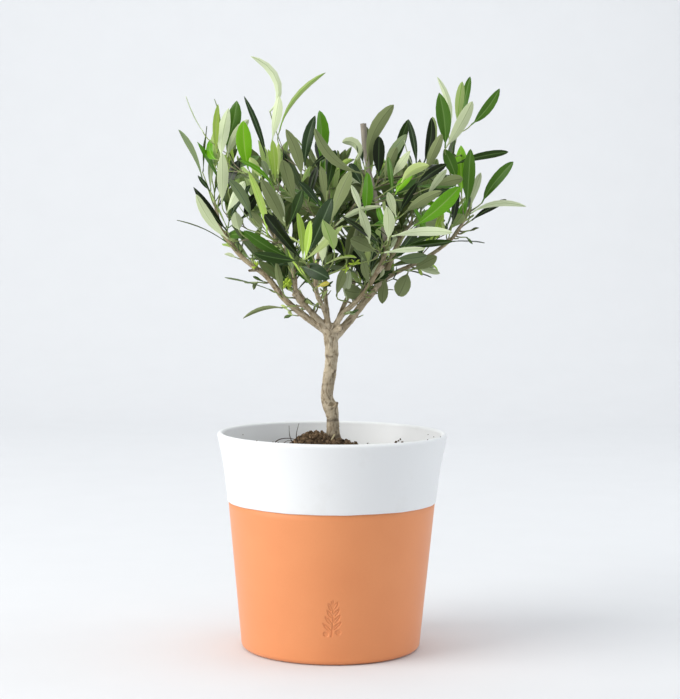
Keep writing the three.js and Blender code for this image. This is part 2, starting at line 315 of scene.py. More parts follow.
def terracotta_material(pot):
    """Terracotta, slip-cast and fired bare: dead matte, almost even, with a breath of darker firing."""
    material, tree, shader = new_material("terracotta_bisque", 0.52)
    point = add(tree, PLACE, out="Object")
    cloud = add(tree, NOISE, {"Vector": point, **lumps_of(38, 2)})
    firing = add(tree, RAMP, {0: cloud}, ((0.35, BLACK), (0.75, WHITE)))
    fired = add(tree, MIX, {0: firing, 6: pot.clay, 7: toned(pot.clay, 0.97, 0.94, 0.92)}, **COLOURS)
    # Real clay's grain and pores are a few tenths of a millimetre; they are drawn coarser, so that they show.
    grain = add(tree, NOISE, {"Vector": point, **lumps_of(1.6, 4, 0.7)})
    dust = add(tree, RAMP, {0: grain}, ((0.3, (0.96, 0.955, 0.95)), (0.7, WHITE)))
    dusty = add(tree, MIX, {0: 0.5, 6: fired, 7: dust}, blend_type="MULTIPLY", **COLOURS)
    pores = add(tree, NOISE, {"Vector": point, **lumps_of(0.9, 5, 0.65)})
    paint(tree, shader, dusty, pores, 0.06, 0.5)
    shader["Sheen Weight"].default_value = 0.22
    shader["Sheen Roughness"].default_value = 0.45
    return material


def coat_material(pot):
    """Matt white engobe that the pot was dipped in: soft, chalky, with a few faint handling marks."""
    material, tree, shader = new_material("matt_white_engobe", 0.52)
    point = add(tree, PLACE, out="Object")
    handling = add(tree, NOISE, {"Vector": point, **lumps_of(26, 4, 0.6)})
    marks = add(tree, RAMP, {0: handling}, ((0.56, BLACK), (0.72, WHITE)))
    colour = add(tree, MIX, {0: marks, 6: pot.white, 7: toned(pot.white, 0.965, 0.96, 0.95)}, **COLOURS)
    # The slip's chalky grain is too fine to show; this relief is drawn coarser.
    chalk = add(tree, NOISE, {"Vector": point, **lumps_of(2.2, 4)})
    paint(tree, shader, colour, chalk, 0.05, 0.35)
    return material


def compost_material(pot, name, lighten):
    """Damp peat compost, sieved and settled: dark, crumbly, with paler dried grains."""
    material, tree, shader = new_material(name, 0.95, 0.2)
    point = add(tree, PLACE, out="Object")
    grains = add(tree, NOISE, {"Vector": point, **lumps_of(2.2, 5, 0.75)})
    dried = tuple(min(1, c * 2.6 + 0.02) * lighten for c in pot.compost)
    stops = ((0.3, toned(pot.compost, 0.42 * lighten)), (0.5, toned(pot.compost, lighten)), (0.72, dried))
    crumbs = add(tree, NOISE, {"Vector": point, **lumps_of(1.1, 5, 0.7)})
    paint(tree, shader, add(tree, RAMP, {0: grains}, stops), crumbs, 0.5, 0.9)
    return material


def streaked_material(name, colour, roughness, grain, stretch, dark):
    """A smooth skin or fibre with faint streaks along its height: twig bark, dead root or straw."""
    material, tree, shader = new_material(name, roughness)
    place = add(tree, MAPPING, {"Vector": add(tree, PLACE, out="Object"), "Scale": (1, 1, stretch)})
    streak = add(tree, NOISE, {"Vector": place, **lumps_of(grain)})
    paint(tree, shader, add(tree, RAMP, {0: streak}, ((0.3, toned(colour, dark)), (0.7, colour))))
    return material


def fibre_material(name, hex_text, roughness):
    """A dry root hair or a bit of straw: pale, fibrous and dull."""
    return streaked_material(name, linear(hex_text), roughness, 1.4, 0.3, 0.6)


def shoot_material(name, colour, roughness):
    """Skin of a twig: smooth, with faint pale streaks along it."""
    return streaked_material(name, colour, roughness, 2.0, 0.35, 0.72)


def bark_material(sizes):
    """Thin olive bark on a young stem, grown smooth and split into fine upright furrows: dull grey-tan."""
    material, tree, shader = new_material("olive_bark", 0.86, 0.25)
    furrow_and_shade, scar, young = (add(tree, "ShaderNodeAttribute", out="Fac", attribute_name=name)
                           for name in ("furrow_and_shade", "scar", "young"))
    point = add(tree, PLACE, out="Object")
    patches = add(tree, NOISE, {"Vector": point, **lumps_of(9, 4, 0.6)})
    ground = add(tree, RAMP, {0: patches}, (
        (0.3, toned(sizes.bark, 0.78, 0.72, 0.64)), (0.5, sizes.bark), (0.7, toned(sizes.bark, 1.32))))
    drawn_out = add(tree, MAPPING, {"Vector": point, "Scale": (1, 1, 0.28)})
    grain = add(tree, NOISE, {"Vector": drawn_out, **lumps_of(1.5, 5, 0.7)})
    streaks = add(tree, RAMP, {0: grain}, ((0.32, (0.66, 0.6, 0.53)), (0.6, WHITE)))
    colour = add(tree, MIX, {0: 0.75, 6: ground, 7: streaks}, blend_type="MULTIPLY", **COLOURS)
    # The furrows' dark colour is the bark's own in its furrows, and painted shade in the other hollows of the
    # relief.
    for mask, share, tone in ((young, 0.5, linear("#9A8A66")), (furrow_and_shade, 0.72, sizes.furrow_and_shade),
                              (scar, 1.0, linear("#43362A"))):
        amount = add(tree, MATH, {0: mask, 1: share}, operation="MULTIPLY")
        colour = add(tree, MIX, {0: amount, 6: colour, 7: tone}, **COLOURS)
    upright = add(tree, MAPPING, {"Vector": point, "Scale": (1, 1, 0.4)})
    paint(tree, shader, colour, add(tree, NOISE, {"Vector": upright, **lumps_of(0.9, 5, 0.7)}), 0.22, 0.8)
    return material


def leaf_skin(name, hex_text, roughness, veins, specular):
    """One side of an olive leaf: leathery; waxy and darker above, felted with pale scales below."""
    material, tree, shader = new_material(name, roughness, specular)
    base = linear(hex_text)
    lit = tuple(min(1, c * 1.35 + 0.02) for c in base)
    split = add(tree, SPLIT, {0: add(tree, MAP, uv_map=LEAF_MAP)}).node
    across, along = split.outputs["X"], split.outputs["Y"]
    side = add(tree, MATH, {0: across, 1: 2}, operation="MULTIPLY")
    side = add(tree, MATH, {0: side}, operation="FRACT")
    side = add(tree, MATH, {0: side, 1: 0.5}, operation="SUBTRACT")
    side = add(tree, MATH, {0: side}, operation="ABSOLUTE")
    # About fifteen side veins on each half, 2.6 mm apart; they are drawn broader than real ones, to show.
    vein = add(tree, MATH, {0: along, 1: 46}, operation="MULTIPLY")
    vein = add(tree, MATH, {0: side, 1: -18, 2: vein}, operation="MULTIPLY_ADD")
    vein = add(tree, MATH, {0: vein}, operation="SINE")
    vein = add(tree, MATH, {0: vein}, operation="ABSOLUTE")
    vein = add(tree, MATH, {0: vein, 1: 10}, operation="POWER")
    rib = add(tree, RAMP, {0: side}, ((0.03, WHITE), (0.13, BLACK)))
    foot = add(tree, RAMP, {0: along}, ((0.0, WHITE), (0.16, BLACK)))
    # Painted highlight: the blade is lightened along its edge, a paler rim with a highlight painted onto it.
    pale_rim_and_highlight = add(tree, RAMP, {0: side}, ((0.40, BLACK), (0.455, WHITE)))
    colour = base
    for mask, share in ((rib, 0.3), (vein, veins), (foot, 0.45), (pale_rim_and_highlight, 0.45)):
        amount = add(tree, MATH, {0: mask, 1: share}, operation="MULTIPLY")
        colour = add(tree, MIX, {0: amount, 6: colour, 7: lit}, **COLOURS)
    paint(tree, shader, colour)
    return material


def rib_material(name, hex_text):
    """Midrib of an olive leaf: a pale smooth cord that stands out from the blade."""
    material, tree, shader = new_material(name, 0.5)
    base = linear(hex_text)
    along = add(tree, SPLIT, {0: add(tree, MAP, uv_map=LEAF_MAP)}, out="Y")
    paint(tree, shader, add(tree, RAMP, {0: along}, ((0.1, toned(base, 1.2)), (0.95, toned(base, 0.85)))))
    return material


# ------------------------------------------------------------------ pot
FLARE_BOW = 0.9
# Height of the impressed sprig's middle, the wall's radius there and the size of the faces that carry it.
MARK_HEIGHT, MARK_WALL, MARK_STEP = 33.0, 67.0, 0.3
FLOOR = 6.0


def wall_radius(pot, z):
    """Outer radius of the pot's wall at a height, in millimetres: a straight cone, then a bowed flare."""
    foot = (pot.foot + pot.foot_round) / MM
    dip, top = pot.dip / MM, pot.height / MM
    clay, rim = pot.dip_radius / MM, pot.rim / MM
    start = pot.foot_round / MM
    if z <= dip:
        return foot + (clay - foot) * (z - start) / (dip - start)
    t = (z - dip) / (top - dip)
    proud = clay + pot.coat / MM
    return proud + (rim - proud) * t - FLARE_BOW * math.sin(math.pi * t)


def sprig_depth(across, up, height):
    """How deep an impressed olive sprig is at a place on the wall, from 0 to 1. All in millimetres."""
    scale = height / 26
    x, y = across / scale, up / scale

    def blade(root_x, root_y, angle, length, width):
        c, s = math.cos(angle), math.sin(angle)
        along = (x - root_x) * c + (y - root_y) * s
        beside = -(x - root_x) * s + (y - root_y) * c
        t = np.clip(along / length, 0, 1)
        half = width / 2 * np.sin(math.pi * t**0.9) ** 0.8
        rim = half - np.abs(beside)
        body = smoothstep(-0.1, 0.45, rim) * (along > 0) * (along < length)
        vein = 1 - 0.75 * smoothstep(0.35, 0.1, np.abs(beside)) * (t < 0.85)
        return body * vein

    stem_x = 1.3 * np.sin((y + 13) / 26 * math.pi * 0.9)
    found = smoothstep(0.75, 0.3, np.abs(x - stem_x)) * (np.abs(y) < 12)
    for k in range(4):
        root = -8.5 + 4.6 * k
        stem = 1.3 * math.sin((root + 13) / 26 * math.pi * 0.9)
        for side in (1, -1):
            angle = math.pi / 2 - side * math.radians(46 - 6 * k)
            leaf = blade(stem + side * 0.3, root + (0.9 if side > 0 else 0), angle, 8.4 - 0.7 * k, 3.1)
            found = np.maximum(found, leaf)
    found = np.maximum(found, blade(0.9, 6.5, math.radians(88), 6.4, 2.6))
    for berry_x, berry_y in ((4.7, -9.0), (-3.4, -10.2)):
        away = np.hypot(x - berry_x, y - berry_y)
        found = np.maximum(found, smoothstep(2.1, 1.6, away))
    return found


def clay_body(pot):
    """The bare lower wall and floor, with the sprig pressed into its front."""
    foot, turn = pot.foot / MM, pot.foot_round / MM
    dip, wall = pot.dip / MM, pot.wall / MM
    half = pot.mark / MM / 2 + 1.5
    front = -math.pi / 2
    reach = half / MARK_WALL
    steps = int(2 * half / MARK_STEP)
    angles = front + np.concatenate([np.linspace(-reach, reach, steps, endpoint=False),
                                     np.linspace(reach, 2 * math.pi - reach, 150, endpoint=False)])
    rounding = np.linspace(-math.pi / 2, 0, 9)
    heights = np.concatenate([
        np.linspace(turn, MARK_HEIGHT - half, 6, endpoint=False),
        np.linspace(MARK_HEIGHT - half, MARK_HEIGHT + half, steps, endpoint=False),
        np.linspace(MARK_HEIGHT + half, dip + 0.6, 22),
    ])
    outer = [(1.0, 0.0), (foot * 0.6, 0.0), (foot - 0.6, 0.0)]
    outer += [(foot + turn * math.cos(a), turn + turn * math.sin(a)) for a in rounding]
    plain = len(outer)
    outer += [(wall_radius(pot, z), z) for z in heights[1:-2]]
    edge = wall_radius(pot, dip)
    outer += [(edge, dip - 0.05), (edge - 0.5, dip + 0.1), (edge - 0.5, dip + 0.6)]
    inner = [(wall_radius(pot, z) - wall, z) for z in np.linspace(dip + 0.6, FLOOR + 3, 12)]
    inner += [(wall_radius(pot, FLOOR + 1) - wall - 2, FLOOR + 0.4), (foot * 0.5, FLOOR), (1.0, FLOOR)]
    rows = outer + inner
    vertices = []
    for index, (radius, z) in enumerate(rows):
        radii = np.full(len(angles), radius)
        if plain <= index < len(outer) and abs(z - MARK_HEIGHT) < half:
            away = (angles - front) * radius
            near = np.abs(away) < half
            depth = sprig_depth(away[near], z - MARK_HEIGHT, pot.mark / MM)
            radii[near] -= pot.mark_depth / MM * depth
        vertices.append(level_ring(radii, angles, z))
    columns = len(angles)
    faces = ring_faces(len(rows), columns)
    faces.append(tuple(range(columns))[::-1])
    faces.append(tuple((len(rows) - 1) * columns + j for j in range(columns)))
    piece = mesh_object("pot_clay", np.vstack(vertices), faces, [terracotta_material(pot)])
    return finish_piece(piece, "terracotta", "pot_terracotta")


def coat_band(pot):
    """The dipped upper wall, white inside and out, with a soft lip and a slightly rounded lower edge."""
    dip, top, wall = pot.dip / MM, pot.height / MM, (pot.wall + pot.coat) / MM
    lip = wall / 2
    edge = wall_radius(pot, dip + 0.01)
    outer = [(edge - 0.62, dip + 0.02), (edge - 0.2, dip + 0.02)]
    outer += [(wall_radius(pot, dip + 0.3) - 0.03, dip + 0.25)]
    ragged_rows = len(outer)
    outer += [(wall_radius(pot, z), z) for z in np.linspace(dip + 0.8, top - lip, 30)]
    centre = wall_radius(pot, top - lip) - lip
    rim = [(centre + lip * math.cos(a), top - lip + lip * 0.98 * math.sin(a))
           for a in np.linspace(0, math.pi, 15)[1:-1]]
    inner = [(wall_radius(pot, z) - wall, z) for z in np.linspace(top - lip, dip + 0.8, 18)]
    rows = outer + rim + inner + [(edge - wall, dip + 0.02)]
    columns = 240
    angles = np.linspace(0, 2 * math.pi, columns, endpoint=False)
    ragged = 0.10 * np.sin(5 * angles + 1) + 0.07 * np.sin(11 * angles + 2) + 0.05 * np.sin(23 * angles)
    vertices = []
    for index, (radius, z) in enumerate(rows):
        vertices.append(level_ring(radius, angles, z + ragged if index < ragged_rows else z))
    faces = ring_faces(len(rows), columns)
    last = (len(rows) - 1) * columns
    faces += [(last + j, last + (j + 1) % columns, (j + 1) % columns, j) for j in range(columns)]
    piece = mesh_object("pot_coat", np.vstack(vertices), faces, [coat_material(pot)])
    return finish_piece(piece, "white_coat", "pot_white_band")


# ------------------------------------------------------------------ soil
BED_TOP, SOIL_FLOOR = 130.0, 9.0
MOUND = {"top": 153.0, "radius": 38.0, "x": -3.0, "lean": -6.5}


def inner_radius(pot, z):
    """Radius of the inside of the coated wall at a height."""
    return wall_radius(pot, z) - (pot.wall + pot.coat) / MM


def soil_height(x, y):
    """Height of the compost at a place, in millimetres: a flat bed with a steep mound left of the stem."""
    share = np.zeros_like(x)
    for _ in range(5):
        away = np.hypot(x - MOUND["x"] - MOUND["lean"] * share**2, y)
        ragged = 1 + 0.06 * np.sin(3 * np.arctan2(y, x) + 1) + 0.04 * np.sin(7 * np.arctan2(y, x))
        flank = np.clip((away / (MOUND["radius"] * ragged) - 0.1) / 0.9, 0, 1)
        share = 1 - flank**1.82
    slope = np.clip(x + 19, 0, 40) * 0.11
    return BED_TOP + (MOUND["top"] - BED_TOP - slope) * share


def lumps(points, grain, octaves):
    """Crumbly relief between -1 and 1 at each point."""
    return np.array([noise.fractal(Vector(p) / grain, 1.0, 2.0, octaves) for p in points])


def soil_body(pot):
    """Bed and mound of compost as one closed, crumbled mesh."""
    edge = inner_radius(pot, BED_TOP) - 0.1
    columns = 260
    turn = np.linspace(0, 2 * math.pi, columns, endpoint=False)
    reach = np.concatenate([np.linspace(0.6, 50, 92), np.linspace(50, edge, 26)[1:]])
    x = MOUND["x"] * (1 - reach / edge)[:, None] + np.outer(reach, np.cos(turn))
    y = np.outer(reach, np.sin(turn))
    z = soil_height(x, y)
    flat = np.stack([x.ravel(), y.ravel(), z.ravel()], 1)
    coarse = lumps(flat, 5.5, 4).reshape(z.shape)
    fine = lumps(flat + 40, 1.9, 3).reshape(z.shape)
    free = np.minimum(1, (edge - reach) / 3)[:, None]
    z = z + (1.9 * coarse + 0.8 * fine) * (0.35 + 0.65 * free) - 0.7
    rows = [np.stack([x[i], y[i], z[i]], 1) for i in range(len(reach))]
    under = wall_radius(pot, SOIL_FLOOR) - pot.wall / MM - 0.6
    for radius, height in ((edge, BED_TOP - 4), (under, SOIL_FLOOR), (1.0, SOIL_FLOOR)):
        rows.append(level_ring(radius, turn, height))
    faces = [quad[::-1] for quad in ring_faces(len(rows), columns)]
    faces.append(tuple(range(columns)))
    faces.append(tuple((len(rows) - 1) * columns + j for j in range(columns))[::-1])
    skin = compost_material(pot, "peat_compost", 1.15)
    piece = mesh_object("soil_compost", np.vstack(rows), faces, [skin])
    return finish_piece(piece, "soil", "soil_bed", "soil_mound")


def crumb_tree():
    """Scatters uneven crumbs over a surface: number, size and seed are its inputs."""
    tree = bpy.data.node_groups.new("scattered_crumbs", "GeometryNodeTree")
    tree.interface.new_socket("Geometry", in_out="OUTPUT", socket_type="NodeSocketGeometry")
    for label, kind in (("Geometry", "Geometry"), ("Crumbs per square metre", "Float"),
                        ("Crumb size", "Float"), ("Seed", "Int"), ("Material", "Material")):
        tree.interface.new_socket(label, in_out="INPUT", socket_type=f"NodeSocket{kind}")
    given = tree.nodes.new("NodeGroupInput").outputs
    spread = add(tree, "GeometryNodeDistributePointsOnFaces", {
        "Mesh": given["Geometry"], "Seed": given["Seed"], "Density": given["Crumbs per square metre"]})
    ball = add(tree, "GeometryNodeMeshIcoSphere", {"Radius": 0.5, "Subdivisions": 1})
    knock, turn, size = (
        add(tree, "FunctionNodeRandomValue", {0: low, 1: high, **seed}, data_type="FLOAT_VECTOR")
        for low, high, seed in (((-0.24, -0.24, -0.24), (0.24, 0.24, 0.24), {}),
                                ((0.0, 0.0, 0.0), (6.3, 6.3, 6.3), {"Seed": given["Seed"]}),
                                ((0.35, 0.3, 0.25), (1.25, 1.0, 0.8), {"Seed": given["Seed"]})))
    lump = add(tree, "GeometryNodeSetPosition", {"Geometry": ball, "Offset": knock})
    scaled = add(tree, "ShaderNodeVectorMath", {0: size, "Scale": given["Crumb size"]}, operation="SCALE")
    placed = add(tree, "GeometryNodeInstanceOnPoints", {
        "Points": spread, "Instance": lump, "Rotation": turn, "Scale": scaled})
    real = add(tree, "GeometryNodeRealizeInstances", {"Geometry": placed})
    painted = add(tree, "GeometryNodeSetMaterial", {"Geometry": real, "Material": given["Material"]})
    tree.links.new(painted, tree.nodes.new("NodeGroupOutput").inputs["Geometry"])
    return tree


def grown_mesh(host, tree, values):
    """Runs a node tree on a host with values by input name, and keeps the result as the host's mesh."""
    modifier = host.modifiers.new("growth", "NODES")
    modifier.node_group = tree
    for item in tree.interface.items_tree:
        if item.in_out == "INPUT" and item.name in values:
            modifier[item.identifier] = values[item.name]
    seen = host.evaluated_get(bpy.context.evaluated_depsgraph_get())
    result = bpy.data.meshes.new_from_object(seen)
    host.modifiers.remove(modifier)
    host.data = result
    return host


def soil_patch(name, inner, outer, centre_x, columns=72, rows=14):
    """An open strip of the soil's surface, on which crumbs are scattered."""
    turn = np.linspace(0, 2 * math.pi, columns, endpoint=False)
    reach = np.linspace(inner, outer, rows)
    x = centre_x * (1 - reach / outer)[:, None] + np.outer(reach, np.cos(turn))
    y = np.outer(reach, np.sin(turn))
    z = soil_height(x, y) + 0.1
    vertices = np.stack([x.ravel(), y.ravel(), z.ravel()], 1)
    faces = [quad[::-1] for quad in ring_faces(rows, columns)]
    return mesh_object(name, vertices, faces, [])


def soil_crumbs(pot):
    """Loose crumbs: dark ones all over, dried pale ones and coarse ones on the mound."""
    tree = crumb_tree()
    edge = inner_radius(pot, BED_TOP) - 2
    layers = (
        ("crumbs_dark", 4, edge, 2.3e5, 0.0019, "moist_compost_crumbs", 1.15),
        ("crumbs_coarse", 3, 40, 7.5e4, 0.0050, "coarse_compost_crumbs", 1.9),
        ("crumbs_dried", 3, 48, 7.0e4, 0.0020, "dried_compost_crumbs", 2.9),
    )
    for index, (name, inner, outer, density, size, material, lighten) in enumerate(layers):
        host = soil_patch(name, inner, outer, MOUND["x"] if outer < 50 else 0)
        grown_mesh(host, tree, {
            "Crumbs per square metre": density, "Crumb size": size, "Seed": SEED + index,
            "Material": compost_material(pot, material, lighten)})
        finish_piece(host, "soil")


# Crumbs that stick to the wall: where round the pot, height and size.
STUCK_CRUMBS = (
    (0.80, 140.6, 2.6), (0.85, 141.6, 2.0), (0.88, 140.4, 2.4), (0.83, 142.8, 1.5), (0.42, 149, 0.7),
    (0.28, 148.5, 0.8), (2.6, 147, 0.8), (0.70, 139.4, 1.5), (1.2, 138, 1.3), (2.2, 139, 1.6))


def stray_crumbs(pot):
    """The few crumbs that lie on the lip and stick to the inside of the wall."""
    rng = random.Random(SEED)
    lip = pot.rim / MM - (pot.wall + pot.coat) / MM / 2
    places = []
    for angle in (-2.27, -2.05, -0.62, -0.35):
        places.append((lip * math.cos(angle), lip * math.sin(angle), pot.height / MM, 0.8))
    for angle, height, size in STUCK_CRUMBS:
        radius = inner_radius(pot, height) - 0.2
        places.append((radius * math.cos(angle), radius * math.sin(angle), height, size))
    pieces = []
    for x, y, z, size in places:
        heading = (rng.uniform(-1, 1), rng.uniform(-1, 1), rng.uniform(-0.4, 0.4))
        path = np.array([(x, y, z)]) + np.outer(np.linspace(-0.5, 0.5, 5) * size, heading)
        swell = np.array([0.12, 0.42, 0.5, 0.36, 0.1]) * size
        pieces.append(tube(path, swell * rng.uniform(0.8, 1.1), 6))
    piece = mesh_object("crumbs_stray", *joined(pieces), [compost_material(pot, "scattered_compost", 1.1)])
    return finish_piece(piece, "soil")


def root_hairs():
    """Thin dead roots that stand out of the mound on its left, and two straws."""
    rng = random.Random(SEED + 1)
    pieces = []
    drawn = [
        (((-27, -12, 145), (-30, -14, 152), (-30.6, -15, 159.5)), 0.42),
        (((-24, -14, 146), (-25.4, -16, 153), (-23.6, -17, 161.5)), 0.4),
        (((-43, -14, 143), (-40, -16, 148), (-36, -17, 150.4), (-30, -15, 150.6), (-24, -12, 149)), 0.46),
        (((-36, -20, 143), (-34, -22, 148), (-30, -22, 150), (-27, -20, 148)), 0.3),
        (((-24, -24, 143), (-20, -27, 148), (-12, -27, 149.6), (-8, -25, 147)), 0.3),
    ]
    for _ in range(16):
        angle, reach = rng.uniform(-3.1, 3.1), rng.uniform(12, 34)
        x, y = MOUND["x"] + reach * math.cos(angle), reach * math.sin(angle)
        z = float(soil_height(np.array([x]), np.array([y]))[0])
        lean = np.array([rng.uniform(-1, 1), rng.uniform(-1, 1), 0])
        start = np.array([x, y, z - 1.2])
        arch = (start, start + lean * 2.5 + (0, 0, 3.2), start + lean * 7 + (0, 0, 2.6))
        drawn.append((arch, rng.uniform(0.16, 0.3)))
    for points, radius in drawn:
        path = spline(points, 14)
        pieces.append(tube(path, np.linspace(radius, radius * 0.4, 14), 6))
    hairs = mesh_object("root_hairs", *joined(pieces), [fibre_material("dead_root_fibre", "#463729", 0.85)])
    finish_piece(hairs, "soil")
    straws = [
        (((-2, -13, 146), (-0.5, -12, 149.4), (1.6, -10, 153)), 0.6),
        (((12, -30, 144), (15, -26, 146.4)), 0.4),
    ]
    laid = joined([tube(spline(points, 8), np.full(8, radius), 6) for points, radius in straws])
    straw = mesh_object("straws", *laid, [fibre_material("dry_straw", "#C9BD94", 0.7)])
    return finish_piece(straw, "soil")


# ------------------------------------------------------------------ trunk and boughs
TRUNK = {"ground": 150.0, "fork": 231.0, "flare": 5.7, "radius": 4.45, "fork_radius": 7.4}
TRUNK_LINE = (
    (150, 0.6, 0), (162, 0.2, 0), (169, -0.8, 0.3), (177, -3.8, 0.8), (184, -3.8, 1), (196, -2.1, 0.8),
    (208, -1.0, 0.2), (218, -1.4, 0), (231, -2.4, 0))
TRUNK_KNOTS = ((171, 4, 0.2), (193, 2.5, 0.06), (209, 2, 0.07))
# Each bough: thickness where it starts, thickness at its end, and its centre line.
BOUGHS = {
    "left_outer": (6.2, 3.2, (
        (-4, 0, 225), (-20.6, -2, 236.4), (-34.6, -3, 248.2), (-47.6, -2, 264.1), (-66, 0, 278.5),
        (-84, 2, 302))),
    "left_inner": (5.4, 3.0, (
        (-4, -2, 227), (-10, -6, 233.6), (-18, -12, 242), (-26, -17, 251), (-28, -20, 268), (-36, -24, 292))),
    "centre_front": (4.8, 2.6, (
        (-3, -2, 228), (-6, -10, 240), (-12, -22, 254), (-12, -36, 272), (-8, -48, 292))),
    "centre_rear": (4.2, 2.6, (
        (-3, 2, 228), (-5, 8, 243), (-6, 14, 256), (-5, 24, 275), (-2, 34, 296))),
    "right_inner": (5.2, 3.0, (
        (0, -2, 226), (6.2, -7, 237.7), (21, -13, 252.8), (33.7, -17, 275.7), (38, -20, 292))),
    "right_outer": (7.4, 4.0, (
        (-1, 1, 219), (12.3, 6, 233.7), (20.1, 9, 243.7), (32.9, 12, 259.8), (43, 15, 281), (50, 19, 296))),
    "right_spread": (4.4, 2.4, (
        (33, 12, 260.5), (45.8, 12, 267.9), (65.5, 9, 277.9), (84.7, 5, 293), (95, 3, 311))),
    "rear_left": (4.6, 2.6, (
        (-6, 2, 226), (-16, 14, 238), (-28, 28, 256), (-40, 40, 282), (-44, 46, 300))),
    "rear_right": (4.4, 2.6, (
        (2, 4, 229), (8, 18, 244), (16, 36, 262), (22, 54, 288), (24, 60, 302))),
}


def trunk_limb():
    """Centre line and radii of the trunk, from just under the soil to the fork."""
    line = spline([(x, y, z) for z, x, y in TRUNK_LINE], 60)
    rise = line[:, 2] - TRUNK["ground"]
    left = TRUNK["fork"] - line[:, 2]
    swell = 1 + sum(s * np.exp(-(((line[:, 2] - z) / half) ** 2)) for z, half, s in TRUNK_KNOTS)
    radii = (TRUNK["radius"] + (TRUNK["flare"] - TRUNK["radius"]) * np.exp(-rise / 4)
             + (TRUNK["fork_radius"] - TRUNK["radius"]) * np.exp(-left / 7)) * swell
    line = np.vstack([line[0] - (0, 0, 3.5), line])
    return line, np.concatenate([[radii[0] * 1.12], radii])


def bough_limb(name, steps=40):
    """Centre line and radii of a bough."""
    thick, thin, points = BOUGHS[name]
    line = spline(points, steps)
    return line, (thick + (thin - thick) * np.sqrt(np.linspace(0, 1, steps))) / 2


# Pruning stubs and swollen knots on the limbs: steps, radius at the start and at the end, centre line.
STUBS = (
    (8, 2.4, 1.2, ((-2.0, -1.5, 168), (1.6, -3, 172), (3.4, -3.4, 175.6))),
    (8, 3.4, 2.3, ((-1.0, -1, 226), (3.4, -4.5, 227.2), (6.4, -6, 228))),
    (6, 2.4, 1.4, ((-1.2, -1, 207), (-4.4, -3.2, 208.2))),
    (6, 2.2, 1.2, ((-1.8, -1, 197), (1.6, -3.6, 197.4))),
    (6, 2.9, 3.2, ((-22, -15, 248), (-27, -18.5, 253.4))),
    (6, 2.6, 3.0, ((31, 10, 257), (36.5, 8, 263.5))),
    (6, 2.0, 1.5, ((30, -16, 268), (35, -20, 273))),
    (6, 1.9, 1.3, ((-38, -3, 251), (-39, -7, 256))),
    (6, 1.7, 1.0, ((-54, -1, 269), (-60, -5, 268))),
)
# Ring scars round the stem: height, half its breadth, how dark it is, how it slants and how it wavers.
RING_SCARS = ((162.4, 1.2, 0.6, 0.12, 1), (188.4, 0.7, 0.25, 0.1, 0), (207.4, 0.7, 0.38, 0, 0),
              (199, 0.6, 0.25, 0, 0), (151, 1.6, 0.5, 0, 0))


def limb_list():
    """Every woody limb: name, centre line and radii."""
    found = [("trunk", *trunk_limb())]
    found += [(name, *bough_limb(name)) for name in BOUGHS]
    found += [(f"stub_{k}", spline(points, steps), np.linspace(thick, thin, steps))
              for k, (steps, thick, thin, points) in enumerate(STUBS)]
    return found


def bark_relief(points, limbs):
    """Each bark point's outward push in relief depths; how dark it is painted down in the bark's furrows and,
    as painted shade, in the hollows of the relief; and how far it is a scar and young wood.
    """
    owners = [(index, k) for index, (_, line, _) in enumerate(limbs) for k in range(len(line))]
    tree = kdtree.KDTree(len(owners))
    for number, (index, k) in enumerate(owners):
        tree.insert(Vector(limbs[index][1][k]), number)
    tree.balance()
    frames = [(line, tangents(line), length_along(line)) for _, line, _ in limbs]
    found = np.zeros((len(points), 4))
    for row, point in enumerate(points):
        place = Vector(point)
        index, k = owners[tree.find(place)[1]]
        line, along, length = frames[index]
        name, _, radii = limbs[index]
        passed = float((point - line[k]) @ along[k])
        travel = length[k] + passed
        outward = unit(point - line[k] - along[k] * passed)
        young = 0.0 if name == "trunk" else min(1.0, travel / 55)
        strength = 1 - 0.62 * young
        spot = Vector(outward * radii[k] + along[k] * travel * 0.24 + 31.0 * index)
        furrow_and_shade = noise.noise(spot * 0.95) + 0.5 * noise.noise(spot * 2.1 + Vector((7, 3, 1)))
        split = max(0.0, -furrow_and_shade - 0.08) * 2.2
        broad = noise.noise(place * 0.17) * 0.38 + noise.noise(place * 0.42) * 0.22
        phase = (travel + 1.3 * noise.noise(place * 0.2) + 3 * index) % (9.5 if name == "trunk" else 12.0)
        ring = math.exp(-((phase - 1.5) / 0.55) ** 2)
        push = (broad - 0.75 * min(1, split) + 0.34 * ring) * strength + 0.16 * noise.noise(place * 1.7)
        scar = 0.0
        if name == "trunk":
            x, _, z = point
            wavering = noise.noise(place * 0.6)
            scar = sum(dark * math.exp(-((z - height - slant * x - waver * wavering) / half) ** 2)
                       for height, half, dark, slant, waver in RING_SCARS)
            push -= 0.5 * scar
            scar += 0.3 * (1 - float(smoothstep(153, 174, z)))
            spin = math.atan2(outward[1], outward[0])
            flute = math.cos(6 * spin + 1.5 * math.sin(z * 0.11)) * float(smoothstep(203, 226, z))
            push += 0.9 * flute
            # Painted shade: the troughs of the flutes are painted as dark as the furrows.
            split += 0.5 * max(0.0, -flute)
        if name.startswith("stub"):
            scar = 0.85 * math.exp(-(np.linalg.norm(point - line[-1]) / 1.5) ** 2)
        # Painted shade: the broad dips of the relief get some of the furrows' dark colour.
        found[row] = push, min(1, split + 0.25 * max(0, -broad)), min(1, scar), young
    return found


